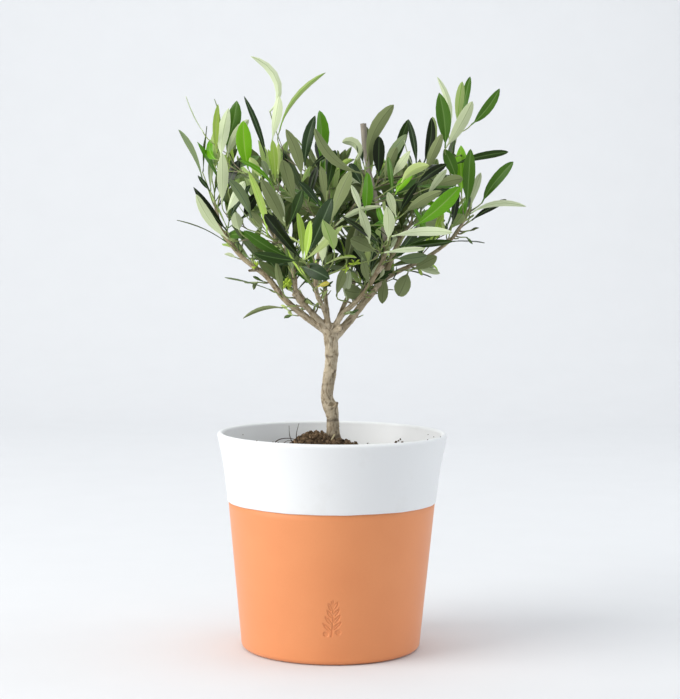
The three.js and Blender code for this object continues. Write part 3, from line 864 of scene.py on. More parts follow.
def bark_limbs(sizes):
    """Trunk, boughs, stubs and knots grown together into one skin, with the bark's relief in its faces."""
    limbs = limb_list()
    piece = mesh_object("bark_limbs", *joined([tube(line, radii, 16) for _, line, radii in limbs]), [])
    merge = piece.modifiers.new("merge", "REMESH")
    merge.mode = "VOXEL"
    merge.voxel_size = sizes.skin
    soften = piece.modifiers.new("soften", "SMOOTH")
    soften.factor = 0.6
    soften.iterations = 7
    seen = piece.evaluated_get(bpy.context.evaluated_depsgraph_get())
    grown = bpy.data.meshes.new_from_object(seen)
    piece.modifiers.clear()
    piece.data = grown
    count = len(grown.vertices)
    places = np.zeros(count * 3)
    grown.vertices.foreach_get("co", places)
    places = places.reshape(-1, 3) / MM
    normals = np.zeros(count * 3)
    grown.vertex_normals.foreach_get("vector", normals)
    normals = normals.reshape(-1, 3)
    found = bark_relief(places, limbs)
    places += normals * (found[:, :1] * sizes.relief / MM)
    grown.vertices.foreach_set("co", (places * MM).ravel())
    for column, name in ((1, "furrow_and_shade"), (2, "scar"), (3, "young")):
        layer = grown.attributes.new(name, "FLOAT", "POINT")
        layer.data.foreach_set("value", found[:, column].astype(np.float32))
    grown.materials.clear()
    grown.materials.append(bark_material(sizes))
    grown.polygons.foreach_set("use_smooth", np.full(len(grown.polygons), True))
    grown.update()
    return finish_piece(piece, "bark", "trunk", *[f"bough_{name}" for name in BOUGHS])


# ------------------------------------------------------------------ crown
# Each mass of foliage, and how many further shoots fill it.
MASSES = {
    "left_outer": 5, "left_crown": 5, "left_front": 7, "left_rear": 8, "centre": 7, "centre_front": 7,
    "centre_rear": 8, "centre_right": 6, "right_front": 7, "right_rear": 8, "right_crown": 6,
    "right_outer": 6, "right_low": 0, "left_low": 0}
# A corner further forward than this always gets its leaf, even if it stands in front of an own leaf.
FOREMOST = -88
# A corner needs no further leaf this near an own leaf's tip; or, if it is no further than MIDDLE_DEPTH
# forward or back, this near it as seen from the front. An ordinary leaf this near the line of sight to an own
# leaf hides it.
REACHED, SEEN_REACHED, MIDDLE_DEPTH, HIDES = 7, 11, 40, 6.5
# How far leaves may stand outside the foliage solids: those of the masses, and those along the boughs.
MASS_FREE, BOUGH_FREE = 5, 24
# The length a shoot should have: to a mass's corner, inside it, and along a bough.
CORNER_SHOOT, FILLER_SHOOT, BOUGH_SHOOT = 40, 26, 12
UP = np.array([0.0, 0.0, 1.0])
HUB = np.array([0, 0, 262.0])
# Across, height and distance of the front view.
EYE = (-7.3, 292.9, 1300.0)
# How far the ordinary leaves reach as they are seen from the front; only own leaves stand outside it.
OUTLINE = np.array((
    (-90, 368), (-96, 353), (-93, 332), (-98, 322), (-91, 306), (-79, 289), (-66, 273),
    (-51, 256), (-31, 245), (-2, 243), (24, 248), (46, 254), (67, 267), (84, 284), (102, 297),
    (116, 314), (123, 331), (123, 348), (112, 357), (101, 360), (90, 363), (78, 363),
    (63, 370), (52, 362), (40, 358), (23, 354), (8, 354), (-1, 362), (-12, 369), (-25, 364),
    (-36, 359), (-51, 360), (-64, 368), (-75, 374)))
# Each tint: upper side, felted underside, midrib, roughness of the upper side.
TINTS = {
    "shade": ("#142103", "#4C582C", "#3A5220", 0.28),
    "deep": ("#233B06", "#5C693E", "#4A6A28", 0.30),
    "blue": ("#283C1E", "#70805A", "#526745", 0.33),
    "mid": ("#436A18", "#83935F", "#638639", 0.34),
    # Painted light: a lighter, greener copy of the leaf's colours that stands for sunlit leaves.
    "fresh": ("#5A930D", "#9BB06C", "#7BA23F", 0.33),
    # Painted light: a vivid, brighter green copy of the leaf's colours that stands for leaves with light
    # shining through them.
    "bright": ("#70AC0A", "#A8C164", "#8EB93C", 0.32),
    "olive": ("#465029", "#7C875C", "#687346", 0.45),
    "sage": ("#8A9A70", "#B9C49C", "#A6B388", 0.52),
    "young": ("#ABCB54", "#C3D48A", "#BED37A", 0.42),
    "pale": ("#CCD9AA", "#D3DEB8", "#BCCB9B", 0.48),
    "yellow": ("#C7B52A", "#C4B84E", "#CDC56C", 0.5),
}
SPRAY_TINTS = tuple(row.split() for row in (
    "shade deep blue deep", "deep mid deep olive", "blue olive deep blue", "mid fresh mid deep",
    "olive sage blue olive", "shade mid fresh mid", "deep blue olive sage", "mid deep fresh bright"))
# Every foliage solid is stood for by the leaves; the leaves of this tint name them all.
NAMING_TINT = "deep"


def in_sight(points):
    """Places with their x and z as they are seen from the front, so that one can be told to hide another."""
    points = np.array(points, float)
    depth = 1 + points[..., 1] / EYE[2]
    points[..., 0] = EYE[0] + (points[..., 0] - EYE[0]) / depth
    points[..., 2] = EYE[1] + (points[..., 2] - EYE[1]) / depth
    return points


def within(corners, x, z):
    """Whether a place lies inside a closed outline of (x, z) corners."""
    (x0, z0), (x1, z1) = corners.T, np.roll(corners, 1, axis=0).T
    spans = (z0 > z) != (z1 > z)
    cross = x0[spans] + (z - z0[spans]) / (z1[spans] - z0[spans]) * (x1[spans] - x0[spans])
    return int((cross > x).sum()) % 2 == 1


def mass_points(name):
    """The sharp corners of a mass's solid, in millimetres: the places that its outermost leaves reach."""
    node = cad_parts[f"foliage_{name}"]
    corners = np.round(np.array([v.co for v in node.data.vertices]) / MM, 2)
    places, owner = np.unique(corners, axis=0, return_inverse=True)
    owner = owner.ravel()
    beside = [set() for _ in places]
    for face in node.data.polygons:
        ids = [owner[v] for v in face.vertices]
        for a in ids:
            beside[a].update(ids)
    middle = np.median(places, axis=0)
    away = np.linalg.norm(places - middle, axis=1)
    found = []
    for index, place in enumerate(places):
        blunt = np.linalg.norm(places - place, axis=1) < 2.5
        near = [b for a in np.flatnonzero(blunt) for b in beside[a] if not blunt[b]]
        if not near or away[index] < max(away[blunt].max(), away[near].max()):
            continue
        towards = np.mean([unit(places[b] - place) for b in near], axis=0)
        if np.linalg.norm(towards) > 0.93:
            found.append(place)
    return found


class Skeleton:
    """Places on the limbs and twigs from which a new shoot can start."""

    def __init__(self):
        self.places, self.forwards, self.radii = [], [], []

    def take(self, line, radii, start, stop, step=1):
        along = tangents(line)
        for k in range(start, min(stop, len(line)), step):
            self.places.append(line[k])
            self.forwards.append(along[k])
            self.radii.append(radii[k])

    def nearest(self, end, ideal):
        """The place about the ideal length away from which the end can be reached without turning back."""
        places = np.array(self.places)
        gap = end - places
        away = np.linalg.norm(gap, axis=1)
        facing = np.einsum("ij,ij->i", gap, np.array(self.forwards)) / np.maximum(away, 1e-6)
        rise = gap[:, 2] / np.maximum(away, 1e-6)
        cost = away + 1.6 * np.maximum(0, ideal - away)
        cost = cost * (1 + 0.8 * (1 - facing)) * (1 + np.maximum(0, -rise))
        k = int(np.argmin(cost))
        return places[k], self.forwards[k], self.radii[k]

    def closest(self, end):
        """The place nearest to the end, and how far it is."""
        away = np.linalg.norm(np.array(self.places) - end, axis=1)
        k = int(np.argmin(away))
        return self.places[k], float(away[k])


def curve_between(start, leaving, end, arriving, steps):
    """A smooth line that leaves and arrives in the given directions."""
    span = float(np.linalg.norm(end - start))
    t = np.linspace(0, 1, steps)[:, None]
    m0, m1 = unit(leaving) * span, unit(arriving) * span
    return ((2 * t**3 - 3 * t**2 + 1) * start + (t**3 - 2 * t**2 + t) * m0
            + (-2 * t**3 + 3 * t**2) * end + (t**3 - t**2) * m1)


def crown_shell():
    """All the foliage solids together as (vertices, faces), in millimetres."""
    vertices, faces = [], []
    for name in MASSES:
        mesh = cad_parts[f"foliage_{name}"].data
        offset = len(vertices)
        vertices += [Vector(v.co) / MM for v in mesh.vertices]
        faces += [tuple(offset + v for v in face.vertices) for face in mesh.polygons]
    return vertices, faces


# The leaves that give the tree its own look: stalk end, tip, width, tint, which side shows in front, and how
# many degrees they curve over their length: sideways in the blade, and backward across it.
OWN_LEAVES = (
    ((-46, 0, 380), (-60, 0, 419), 5, "pale", "under", -62, 10),
    ((-44, -6, 359), (-39, -10, 390), 7.5, "pale", "under", 4, 8),
    ((-39, 4, 367), (-7, 10, 408), 3.8, "fresh", "under", 26, 10),
    ((-48, 12, 346), (-65, 25, 392), 4.5, "blue", "upper", -6, 8),
    ((-93, 4, 365), (-105, 5, 390), 4, "pale", "edge", 0, 14),
    ((-85, -4, 343), (-84, -10, 387), 6.5, "mid", "edge", 0, -44),
    ((-82, -16, 350), (-81, -20, 383), 5, "young", "upper", 10, 8),
    ((-79, -20, 346), (-74, -25, 381), 8.5, "pale", "under", 8, 6),
    ((-76, -6, 356), (-69, -12, 387), 9.5, "mid", "upper", -10, 6),
    ((-75, -14, 347), (-60, -20, 373), 6.5, "sage", "under", 16, 6),
    ((-94, 10, 333), (-112, 20, 368), 5, "blue", "under", -14, 6),
    ((-78, -25, 314), (-77, -32, 349), 8.5, "sage", "under", 0, 10),
    ((-60, -24, 339), (-63, -30, 371), 11, "bright", "upper", 6, 10),
    ((-23, -30, 333), (-34, -38, 366), 8, "olive", "under", -14, 8),
    ((-21, -10, 342), (-14, -14, 377), 8, "blue", "upper", 10, 8),
    ((-10, -12, 341), (-11, -15, 380), 10, "fresh", "upper", -6, 6),
    ((-5, -36, 324), (0, -40, 352), 6.5, "deep", "upper", 4, 6),
    ((18, -40, 336), (-14, -44, 366), 6.5, "olive", "under", 30, 10),
    ((23, -4, 346), (41, -10, 385), 9.5, "olive", "under", 22, 8),
    ((15, -18, 346), (5, -24, 358), 5, "sage", "under", -80, 40),
    ((31, -10, 335), (31, -12, 363), 8.5, "shade", "upper", 2, 6),
    ((36, -14, 342), (50, -20, 364), 8, "blue", "under", 24, 12),
    ((58, 6, 344), (52, 10, 376), 4.5, "blue", "upper", -8, 6),
    ((63, 2, 345), (68, 0, 377), 6.5, "shade", "upper", -14, 6),
    ((77, -12, 355), (72, -15, 393), 9.5, "mid", "upper", -10, 8),
    ((80, 2, 366), (72, 5, 406), 4.5, "pale", "under", -24, 6),
    ((86, -6, 371), (89, -6, 402), 6.5, "fresh", "under", 4, 6),
    ((89, 4, 371), (96, 8, 407), 5.5, "mid", "upper", 4, 6),
    ((77, -22, 355), (95, -28, 387), 8.5, "sage", "under", -6, 8),
    ((96, 0, 372), (115, 0, 397), 7.5, "mid", "upper", -12, 8),
    ((84, -8, 344), (122, -5, 353), 6, "deep", "upper", 6, 8),
    ((93, -12, 314), (94, -18, 354), 9, "mid", "upper", 0, 8),
    ((104, 0, 317), (125, -5, 346), 8, "mid", "upper", 8, 8),
    ((97, 0, 310), (136, 5, 315), 4.5, "pale", "under", 26, 6),
    ((98, 12, 305), (123, 20, 320), 5, "shade", "upper", 4, 8),
    ((63, -22, 338), (74, -26, 364), 7.5, "olive", "under", 4, 10),
    ((46, -30, 330), (65, -36, 342), 7, "young", "under", 30, 20),
    ((54, -46, 300), (84, -54, 327), 11, "fresh", "upper", -8, 10),
    ((39, -48, 293), (80, -56, 296), 6.5, "pale", "under", 10, 14),
    ((45, -30, 286), (82, -34, 290), 5.5, "deep", "upper", -4, 10),
    ((84, 0, 290), (108, 10, 289), 4, "shade", "edge", 0, 10),
    ((53, 6, 268), (46, 6, 251), 12.5, "olive", "under", 10, 12),
    ((37, 4, 264), (35, 4, 245), 8, "olive", "under", -8, 8),
    ((57, 0, 270), (73, -6, 279), 9, "olive", "under", 6, 10),
    ((60, 6, 270), (76, 8, 267), 4.5, "sage", "under", 10, 8),
    ((-76, -4, 288), (-111, 0, 303), 3.2, "shade", "edge", 0, -26),
    ((-43, -6, 254), (-77, -8, 263), 4.5, "blue", "edge", 0, -16),
    ((-36, -5, 242), (-64, -6, 234), 3.4, "olive", "under", -22, 12),
    ((-75, -12, 296), (-98, -18, 326), 6, "shade", "upper", 6, 8),
    ((-73, -24, 290), (-96, -30, 321), 7, "sage", "under", 18, 10),
    ((-30, -58, 278), (-61, -66, 296), 8, "mid", "upper", 10, 12),
    ((-23, -62, 278), (-47, -70, 307), 10, "shade", "upper", 8, 10),
    ((-24, -62, 276), (-54, -66, 281), 6, "deep", "upper", 4, 14),
    ((-18, -60, 281), (-2, -68, 318), 11.5, "blue", "upper", -4, 12),
    ((-21, -66, 277), (-25, -76, 308), 6, "young", "upper", -4, 8),
    ((-20, -66, 277), (-16, -80, 303), 5, "young", "upper", -6, 8),
    ((-20, -65, 277), (5, -74, 300), 5, "young", "under", -14, 14),
    ((1, -46, 300), (33, -52, 313), 4, "sage", "under", 22, 14),
    ((21, -52, 308), (22, -60, 336), 9, "fresh", "upper", 0, 8),
    ((36, -60, 290), (35, -68, 313), 8.5, "sage", "under", -6, 22),
    ((24, -56, 288), (17, -62, 311), 6.5, "sage", "under", -4, 12),
    ((-2, -50, 302), (11, -58, 337), 10, "olive", "under", 16, 8),
    ((-22, -50, 272), (-3, -56, 264), 10, "blue", "upper", 10, 30),
    ((-11, -36, 258), (-3, -38, 261), 3.0, "yellow", "under", 8, 10),
    ((-8, -54, 273), (-10, -60, 296), 7, "sage", "under", -4, 10),
    ((-57, -34, 305), (-72, -42, 331), 8, "blue", "under", -10, 10),
    ((70, 20, 346), (70, 26, 379), 7, "mid", "under", 2, 8),
    ((43, 12, 342), (52, 15, 376), 7, "deep", "upper", 4, 8),
    ((-88, 6, 324), (-97, 10, 335), 3.5, "blue", "upper", 4, 8),
    ((-74, -14, 326), (-67, -14, 345), 6.5, "shade", "upper", 8, 8),
    ((-75, -18, 308), (-62, -24, 330), 7.5, "pale", "under", 10, 10),
    ((-72, -15, 306), (-59, -14, 328), 7, "blue", "upper", 14, 8),
    ((-64, -10, 305), (-54, -8, 323), 7.5, "shade", "upper", 6, 8),
    ((-66, -20, 296), (-69, -24, 309), 7, "sage", "under", 0, 12),
    ((-49, -28, 294), (-66, -34, 313), 3.5, "sage", "edge", 0, 14),
    ((-46, -30, 293), (-59, -38, 336), 6, "bright", "under", -8, 8),
    ((-50, -34, 332), (-58, -38, 346), 6, "young", "under", 6, 24),
    ((-46, -33, 333), (-50, -38, 344), 5, "sage", "upper", -6, 16),
    ((-41, -36, 323), (-65, -40, 344), 3.5, "fresh", "upper", -26, 8),
    ((-41, -28, 330), (-43, -32, 358), 5.5, "young", "upper", 0, 8),
    ((-39, -26, 335), (-39, -28, 357), 4, "young", "under", 4, 8),
    ((-43, -27, 335), (-46, -32, 352), 3.5, "young", "upper", -6, 8),
    ((-35, -14, 328), (-36, -12, 353), 5.5, "shade", "upper", -4, 8),
    ((-27, -27, 316), (-36, -32, 345), 9, "olive", "under", 6, 8),
    ((-32, -38, 296), (-50, -44, 331), 9, "olive", "under", -4, 6),
    ((-34, -41, 302), (-39, -46, 322), 6, "sage", "under", 6, 12),
    ((-49, -18, 298), (-59, -22, 309), 7.5, "olive", "under", 6, 12),
    ((-31, -30, 301), (-22, -34, 325), 7, "deep", "upper", -6, 8),
    ((-10, -34, 313), (-25, -38, 330), 6, "blue", "upper", -8, 8),
    ((-6, -26, 314), (-10, -28, 341), 7, "olive", "under", -4, 8),
    ((-16, -22, 341), (-1, -26, 352), 3.5, "shade", "upper", 8, 8),
    ((-18, -24, 320), (-12, -22, 341), 5.5, "shade", "upper", 4, 8),
    ((-23, -26, 329), (-17, -30, 341), 3.5, "fresh", "under", 4, 8),
    ((0, -32, 303), (4, -30, 326), 6, "deep", "upper", 4, 8),
    ((2, -16, 251), (8, -20, 271), 7, "olive", "under", 10, 8),
    ((9, -12, 248), (11, -14, 269), 5.5, "sage", "under", 4, 8),
    ((23, -4, 254), (8, -8, 255), 10.5, "olive", "under", 12, 12),
    ((-35, -26, 253), (-40, -28, 275), 5, "olive", "under", 4, 8),
    ((20, -12, 344), (15, -12, 356), 5.5, "blue", "upper", -10, 8),
    ((2, -20, 339), (12, -22, 346), 3.5, "bright", "under", 14, 8),
    ((19, -26, 328), (10, -28, 343), 7, "blue", "upper", -6, 8),
    ((35, -18, 332), (43, -20, 355), 7, "olive", "under", 10, 8),
    ((40, -26, 323), (37, -28, 348), 4, "mid", "upper", -4, 8),
    ((40, -20, 334), (52, -24, 352), 6.5, "sage", "under", 8, 8),
    ((56, -16, 339), (48, -16, 360), 3, "sage", "edge", 0, 14),
    ((85, -16, 333), (76, -20, 354), 9, "mid", "upper", -6, 8),
    ((70, -34, 328), (88, -40, 333), 7.5, "olive", "under", 10, 12),
    ((56, -26, 328), (77, -28, 343), 6.5, "shade", "upper", 10, 8),
    ((63, -36, 320), (76, -40, 339), 5, "sage", "under", 4, 8),
    ((48, -38, 309), (73, -42, 324), 7.5, "olive", "under", 12, 8),
    ((42, -28, 322), (54, -32, 336), 6.5, "bright", "upper", 16, 8),
    ((45, -32, 310), (57, -32, 330), 5.5, "shade", "upper", 4, 8),
    ((42, -50, 306), (36, -56, 323), 6, "sage", "under", 4, 10),
    ((18, -54, 309), (11, -58, 327), 4.5, "pale", "under", -4, 8),
    ((32, -50, 288), (4, -54, 307), 5.5, "shade", "upper", 6, 8),
    ((30, -46, 286), (12, -46, 303), 5.5, "deep", "upper", -6, 8),
    ((29, -40, 282), (11, -44, 291), 9, "olive", "under", -8, 12),
    ((8, -38, 278), (-6, -42, 295), 8.5, "shade", "upper", 6, 8),
    ((96, -6, 314), (102, -8, 338), 5.5, "sage", "under", 6, 8),
    ((82, -24, 302), (85, -26, 326), 5.5, "shade", "upper", 2, 8),
    ((34, -50, 282), (62, -56, 285), 4, "pale", "under", 6, 10),
    ((49, -34, 286), (68, -36, 294), 5.5, "deep", "upper", 4, 8),
    ((43, -24, 278), (65, -24, 280), 7.5, "blue", "under", -10, 8),
    ((25, -18, 260), (20, -22, 276), 5.5, "olive", "under", 4, 8),
    ((53, 2, 269), (70, 4, 264), 3.5, "shade", "edge", 0, 10),
    ((23, -10, 259), (11, -10, 262), 3, "shade", "edge", 0, 8),
)
# Which way the upper side faces in a leaf that shows its upper side or its underside in front.
FACINGS = {"upper": (0.15, -1, 0.35), "under": (0.1, 1, 0.1)}


def own_leaf(rng, base, tip, width, tint, side, sway, bend):
    """A leaf of which the stalk end, the tip and the curve are given."""
    base, tip = np.array(base, float), np.array(tip, float) + (0, rng.uniform(-8, 8), 0)
    forward = unit(tip - base)
    facing = unit(np.array(FACINGS.get(side, np.cross(forward, (0.0, 1, 0.1)))))
    roll = 0.0 if side == "edge" else math.radians(rng.uniform(-36, 36))
    return {
        "base": base, "direction": forward, "reach": tip, "tint": tint,
        "normal": unit(math.cos(roll) * facing + math.sin(roll) * np.cross(forward, facing)),
        "length": float(np.linalg.norm(tip - base)) * 1.03, "width": width / math.cos(roll), "bend": bend,
        "twist": rng.uniform(-14, 14), "sway": -sway if side == "under" else sway, "fold": rng.uniform(9, 24),
        "wave": rng.uniform(0.05, 0.3), "phase": rng.uniform(0, 6.3), "full": rng.uniform(0.78, 1.0),
        "tip": rng.uniform(0.58, 0.82),
    }


def rule_leaf(rng, base, direction, normal, length, width, bend, tint, tender):
    """One leaf of a spray: tender ones near the tip are more folded and straighter."""
    return {
        "base": base, "direction": direction, "normal": normal, "reach": None, "tint": tint,
        "length": length, "width": width, "bend": bend, "twist": rng.gauss(0, 18), "sway": rng.gauss(0, 10),
        "fold": rng.uniform(16, 36) if tender else rng.uniform(6, 28), "wave": rng.uniform(0, 0.4),
        "phase": rng.uniform(0, 6.3), "full": rng.uniform(0.75, 1.1), "tip": rng.uniform(0.6, 1.0),
    }


class Crown:
    """The seeded branching rule: twigs that grow on from the boughs, and the leaves that they carry."""

    def __init__(self, sizes):
        self.rng = random.Random(SEED)
        self.full, self.wide = sizes.leaf_length / MM, sizes.leaf_width / MM
        self.shoots, self.leaves = [], []
        self.free = MASS_FREE
        self.skeleton = Skeleton()
        for name in BOUGHS:
            line, radii = bough_limb(name)
            self.skeleton.take(line, radii, 12, len(line), 2)
        self.shell = BVHTree.FromPolygons(*crown_shell())
        self.own = [own_leaf(self.rng, *row) for row in OWN_LEAVES]
        share = np.linspace(0.1, 1, 6)[:, None]
        self.kept_clear = in_sight(np.vstack([
            leaf["base"] + share * (leaf["reach"] - leaf["base"]) for leaf in self.own]))
        for leaf in sorted(self.own, key=lambda leaf: float(np.linalg.norm(leaf["base"] - HUB))):
            self.hang_own_leaf(leaf)
        for point, heading in self.ends():
            self.grow(point - heading * self.full * 0.95, heading, CORNER_SHOOT, point)
        for end, heading in self.fillers():
            self.grow(end, heading, FILLER_SHOOT, None)
        self.free = BOUGH_FREE
        for end, heading in self.side_sprays():
            self.grow(end, heading, BOUGH_SHOOT, None)
        self.spurs()

    def ends(self):
        """The sharp corners of the masses that no own leaf reaches, furthest out first."""
        reached = np.array([leaf["reach"] for leaf in self.own])
        seen = in_sight(reached)
        found = []
        for name in MASSES:
            low, high = (np.array(c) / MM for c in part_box(f"foliage_{name}"))
            middle = (low + high) / 2 * (1, 1, 0.93)
            for point in mass_points(name):
                heading = unit(unit(point - middle) + 0.25 * UP)
                gap = seen - in_sight(point)
                foremost = point[1] < FOREMOST
                if np.linalg.norm(reached - point, axis=1).min() < REACHED:
                    continue
                seen_away = np.hypot(gap[:, 0], gap[:, 2]).min()
                if abs(point[1]) < MIDDLE_DEPTH and seen_away < SEEN_REACHED:
                    continue
                if foremost or not self.hides_own(point - heading * self.full * 0.9, point):
                    found.append((point, heading))
        return sorted(found, key=lambda end: -float(np.linalg.norm(end[0] - HUB)))

    def fillers(self):
        """Further shoot ends spread inside each mass."""
        for name, count in MASSES.items():
            low, high = (np.array(c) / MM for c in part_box(f"foliage_{name}"))
            middle, half = (low + high) / 2, (high - low) / 2
            for _ in range(count):
                spin, lift = self.rng.uniform(0, 2 * math.pi), self.rng.uniform(-0.55, 0.85)
                level = math.sqrt(1 - lift * lift)
                out = np.array([level * math.cos(spin), level * math.sin(spin), lift])
                heading = unit(0.7 * out + 0.6 * UP + 0.25 * unit(middle - HUB))
                yield middle + out * half * self.rng.uniform(0.25, 0.6) - (0, 0, 6), heading

    def side_sprays(self):
        """Short leafy twigs along the boughs, below the masses."""
        for name in BOUGHS:
            line, _ = bough_limb(name)
            along = tangents(line)
            for share in (0.42, 0.52, 0.62, 0.72, 0.82, 0.92):
                k = int(share * (len(line) - 1))
                turn = self.rng.uniform(0, 2 * math.pi)
                out = unit(np.cross(along[k], (math.cos(turn), math.sin(turn), 0.3)))
                if out[2] < -0.3:
                    out = -out
                heading = unit(0.7 * out + 0.45 * along[k] + 0.25 * UP)
                yield line[k] + heading * self.rng.uniform(7, 15), heading

    def spurs(self):
        """Short dead and budding spurs along the boughs, some with a bract or a very small leaf."""
        rng = self.rng
        for name in BOUGHS:
            line, radii = bough_limb(name)
            along = tangents(line)
            for _ in range(16):
                k = int(rng.uniform(0.2, 0.98) * (len(line) - 1))
                turn = rng.uniform(0, 2 * math.pi)
                out = unit(np.cross(along[k], (math.cos(turn), math.sin(turn), 0.2)))
                heading = unit(out + rng.uniform(0.2, 0.9) * along[k] + 0.3 * UP)
                span = rng.uniform(2.0, 8.0)
                start = line[k] + out * radii[k] * 0.6
                path = curve_between(start, out, start + heading * (span + 1), heading, 6)
                self.shoots.append((path, np.linspace(0.62, 0.36, 6) * rng.uniform(0.8, 1.3)))
                for _ in range(rng.randrange(3)):
                    away = unit(heading + 0.7 * unit(np.array([rng.uniform(-1, 1) for _ in range(3)])))
                    normal = unit(np.cross(away, (rng.uniform(-1, 1), rng.uniform(-1, 1), 0.4)))
                    size, width, bend = rng.uniform(3.5, 11), rng.uniform(1.4, 3.6), rng.gauss(10, 20)
                    tint = rng.choice(("olive", "sage", "deep", "young"))
                    self.leaves.append(rule_leaf(rng, path[-1], away, normal, size, width, bend, tint, True))

    def hang_own_leaf(self, leaf):
        """Puts an own leaf on the twig at its stalk, or grows one to it."""
        _, away = self.skeleton.closest(leaf["base"])
        if away > 3.0:
            self.grow(leaf["base"], leaf["direction"], 14 if away < 14 else 30, None, leaf)
        self.leaves.append(leaf)

    def grow(self, end, heading, ideal, point, own=None):
        """One shoot from the skeleton to the end, with its leaves."""
        start, forward, thick = self.skeleton.nearest(end, ideal)
        span = float(np.linalg.norm(end - start))
        if span < 4:
            return
        leaving = unit(0.5 * forward + 0.8 * unit(end - start))
        steps = max(6, int(span / 3.0))
        line = curve_between(start, leaving, end, unit(heading + 0.3 * unit(end - start)), steps)
        sideways = np.array([self.rng.uniform(-1, 1) for _ in range(3)]) * span * 0.03
        sine = np.sin(np.linspace(0, math.pi * 2, steps)) * np.sin(np.linspace(0, math.pi, steps))
        line = line + np.outer(sine, sideways)
        foot = min(0.78 * thick, 0.6 + span * 0.012)
        radii = foot + (0.42 - foot) * np.linspace(0, 1, steps) ** 0.8
        top = self.dress(line, radii, heading, point, own)
        if own is None and top < len(line) - 1:
            line, radii = line[: top + 1], radii[: top + 1]
        if len(line) > 3:
            self.shoots.append((line, radii))
            self.skeleton.take(line, radii, max(2, len(line) // 5), int(len(line) * 0.8))

    def dress(self, line, radii, heading, point, own):
        """Opposite pairs of leaves, each pair a quarter round from the last; gives where the top one sits."""
        rng = self.rng
        along = tangents(line)
        length = length_along(line)
        span = length[-1]
        palette = rng.choice(SPRAY_TINTS)
        side = unit(np.cross(along[-1], (0.2, 0.9, 0.35)))
        phase = rng.uniform(0, math.pi)
        place, pair, top = span - 0.5, 0, 0
        bare = min(0.35 * span, 14)
        while place > bare:
            t = place / span
            k = min(len(line) - 1, int(np.searchsorted(length, place)))
            u = unit(side - along[k] * (side @ along[k]))
            v = np.cross(along[k], u)
            for turn in (0, math.pi):
                tender = pair == 0
                tint = palette[rng.randrange(4)]
                if tender and rng.random() < 0.4:
                    tint = rng.choice(("young", "sage", "fresh"))
                if tender and point is not None and turn == 0:
                    size = float(np.linalg.norm(point - line[-1])) * 1.03
                    width = self.wide * rng.uniform(0.85, 1.1)
                    leaf = rule_leaf(rng, line[-1], heading, -v, size, width, rng.uniform(4, 24), tint, False)
                    leaf["reach"] = point
                    self.leaves.append(leaf)
                    top = len(line) - 1
                    continue
                if rng.random() < (0.5 if own else 0.06 if t > 0.4 else 0.2):
                    continue
                angle = phase + pair * math.pi / 2 + turn + rng.uniform(-0.25, 0.25)
                out = math.cos(angle) * u + math.sin(angle) * v
                base = line[k] + out * radii[k] * 0.5
                if self.add_leaf(base, along[k], out, t, tender and own is None, tint):
                    top = max(top, k)
            pair += 1
            place -= rng.uniform(7.0, 10.5) if pair > 1 else rng.uniform(4.5, 6.5)
        return top

    def add_leaf(self, base, forward, out, t, tender, tint):
        """Adds a leaf if it can keep inside the crown's outline and in front of no own leaf."""
        rng = self.rng
        lean = math.radians(rng.gauss(27 + 24 * (1 - t), 7))
        grown = 0.66 if tender else 0.84 + 0.26 * math.sin(math.pi * min(1, (1 - t) * 1.3 + 0.12))
        size = self.full * grown * rng.uniform(0.82, 1.12)
        width = self.wide * (size / self.full) ** 0.6 * rng.uniform(0.55, 1.08)
        bend = rng.gauss(14, 12)
        for _ in range(3):
            direction = unit(math.cos(lean) * forward + math.sin(lean) * out)
            normal = unit(math.sin(lean) * forward - math.cos(lean) * out)
            tip, middle = base + direction * size, base + direction * size * 0.6
            if self.overshoot(tip) < self.free and self.overshoot(middle) < self.free + 1:
                if self.hides_own(base, tip):
                    return False
                self.leaves.append(rule_leaf(rng, base, direction, normal, size, width, bend, tint, tender))
                return True
            lean *= 0.6
            size *= 0.9
        return False

    def overshoot(self, point):
        """How far a point stands outside the foliage solids; too far if it is outside the front outline."""
        if not within(OUTLINE, *in_sight(point)[[0, 2]]):
            return 99.0
        place, normal, _, away = self.shell.find_nearest(Vector(point))
        return away if (Vector(point) - place).dot(normal) > 0 else 0.0

    def hides_own(self, base, tip):
        """Whether a leaf would stand right in front of one of the own leaves."""
        for share in (0.3, 0.55, 0.8, 1.0):
            gap = self.kept_clear - in_sight(base + share * (tip - base))
            if ((np.hypot(gap[:, 0], gap[:, 2]) < HIDES) & (gap[:, 1] > -1)).any():
                return True
        return False


# Where the rows of a leaf lie along it, where the places of a row lie across it, and where its stalk ends.
LEAF_ROWS = np.array([0, 0.045, 0.10, 0.19, 0.31, 0.45, 0.60, 0.75, 0.88, 0.96, 1.0])
LEAF_ACROSS = np.array([-1, -0.55, -0.07, 0.07, 0.55, 1, 0.09, -0.09])
LEAF_STALK = 0.075
LEAF_PLACES = len(LEAF_ROWS) * len(LEAF_ACROSS)
# Half widths of the stalk and of the tip, in millimetres.
STALK_HALF, TIP_HALF = 0.55, 0.12


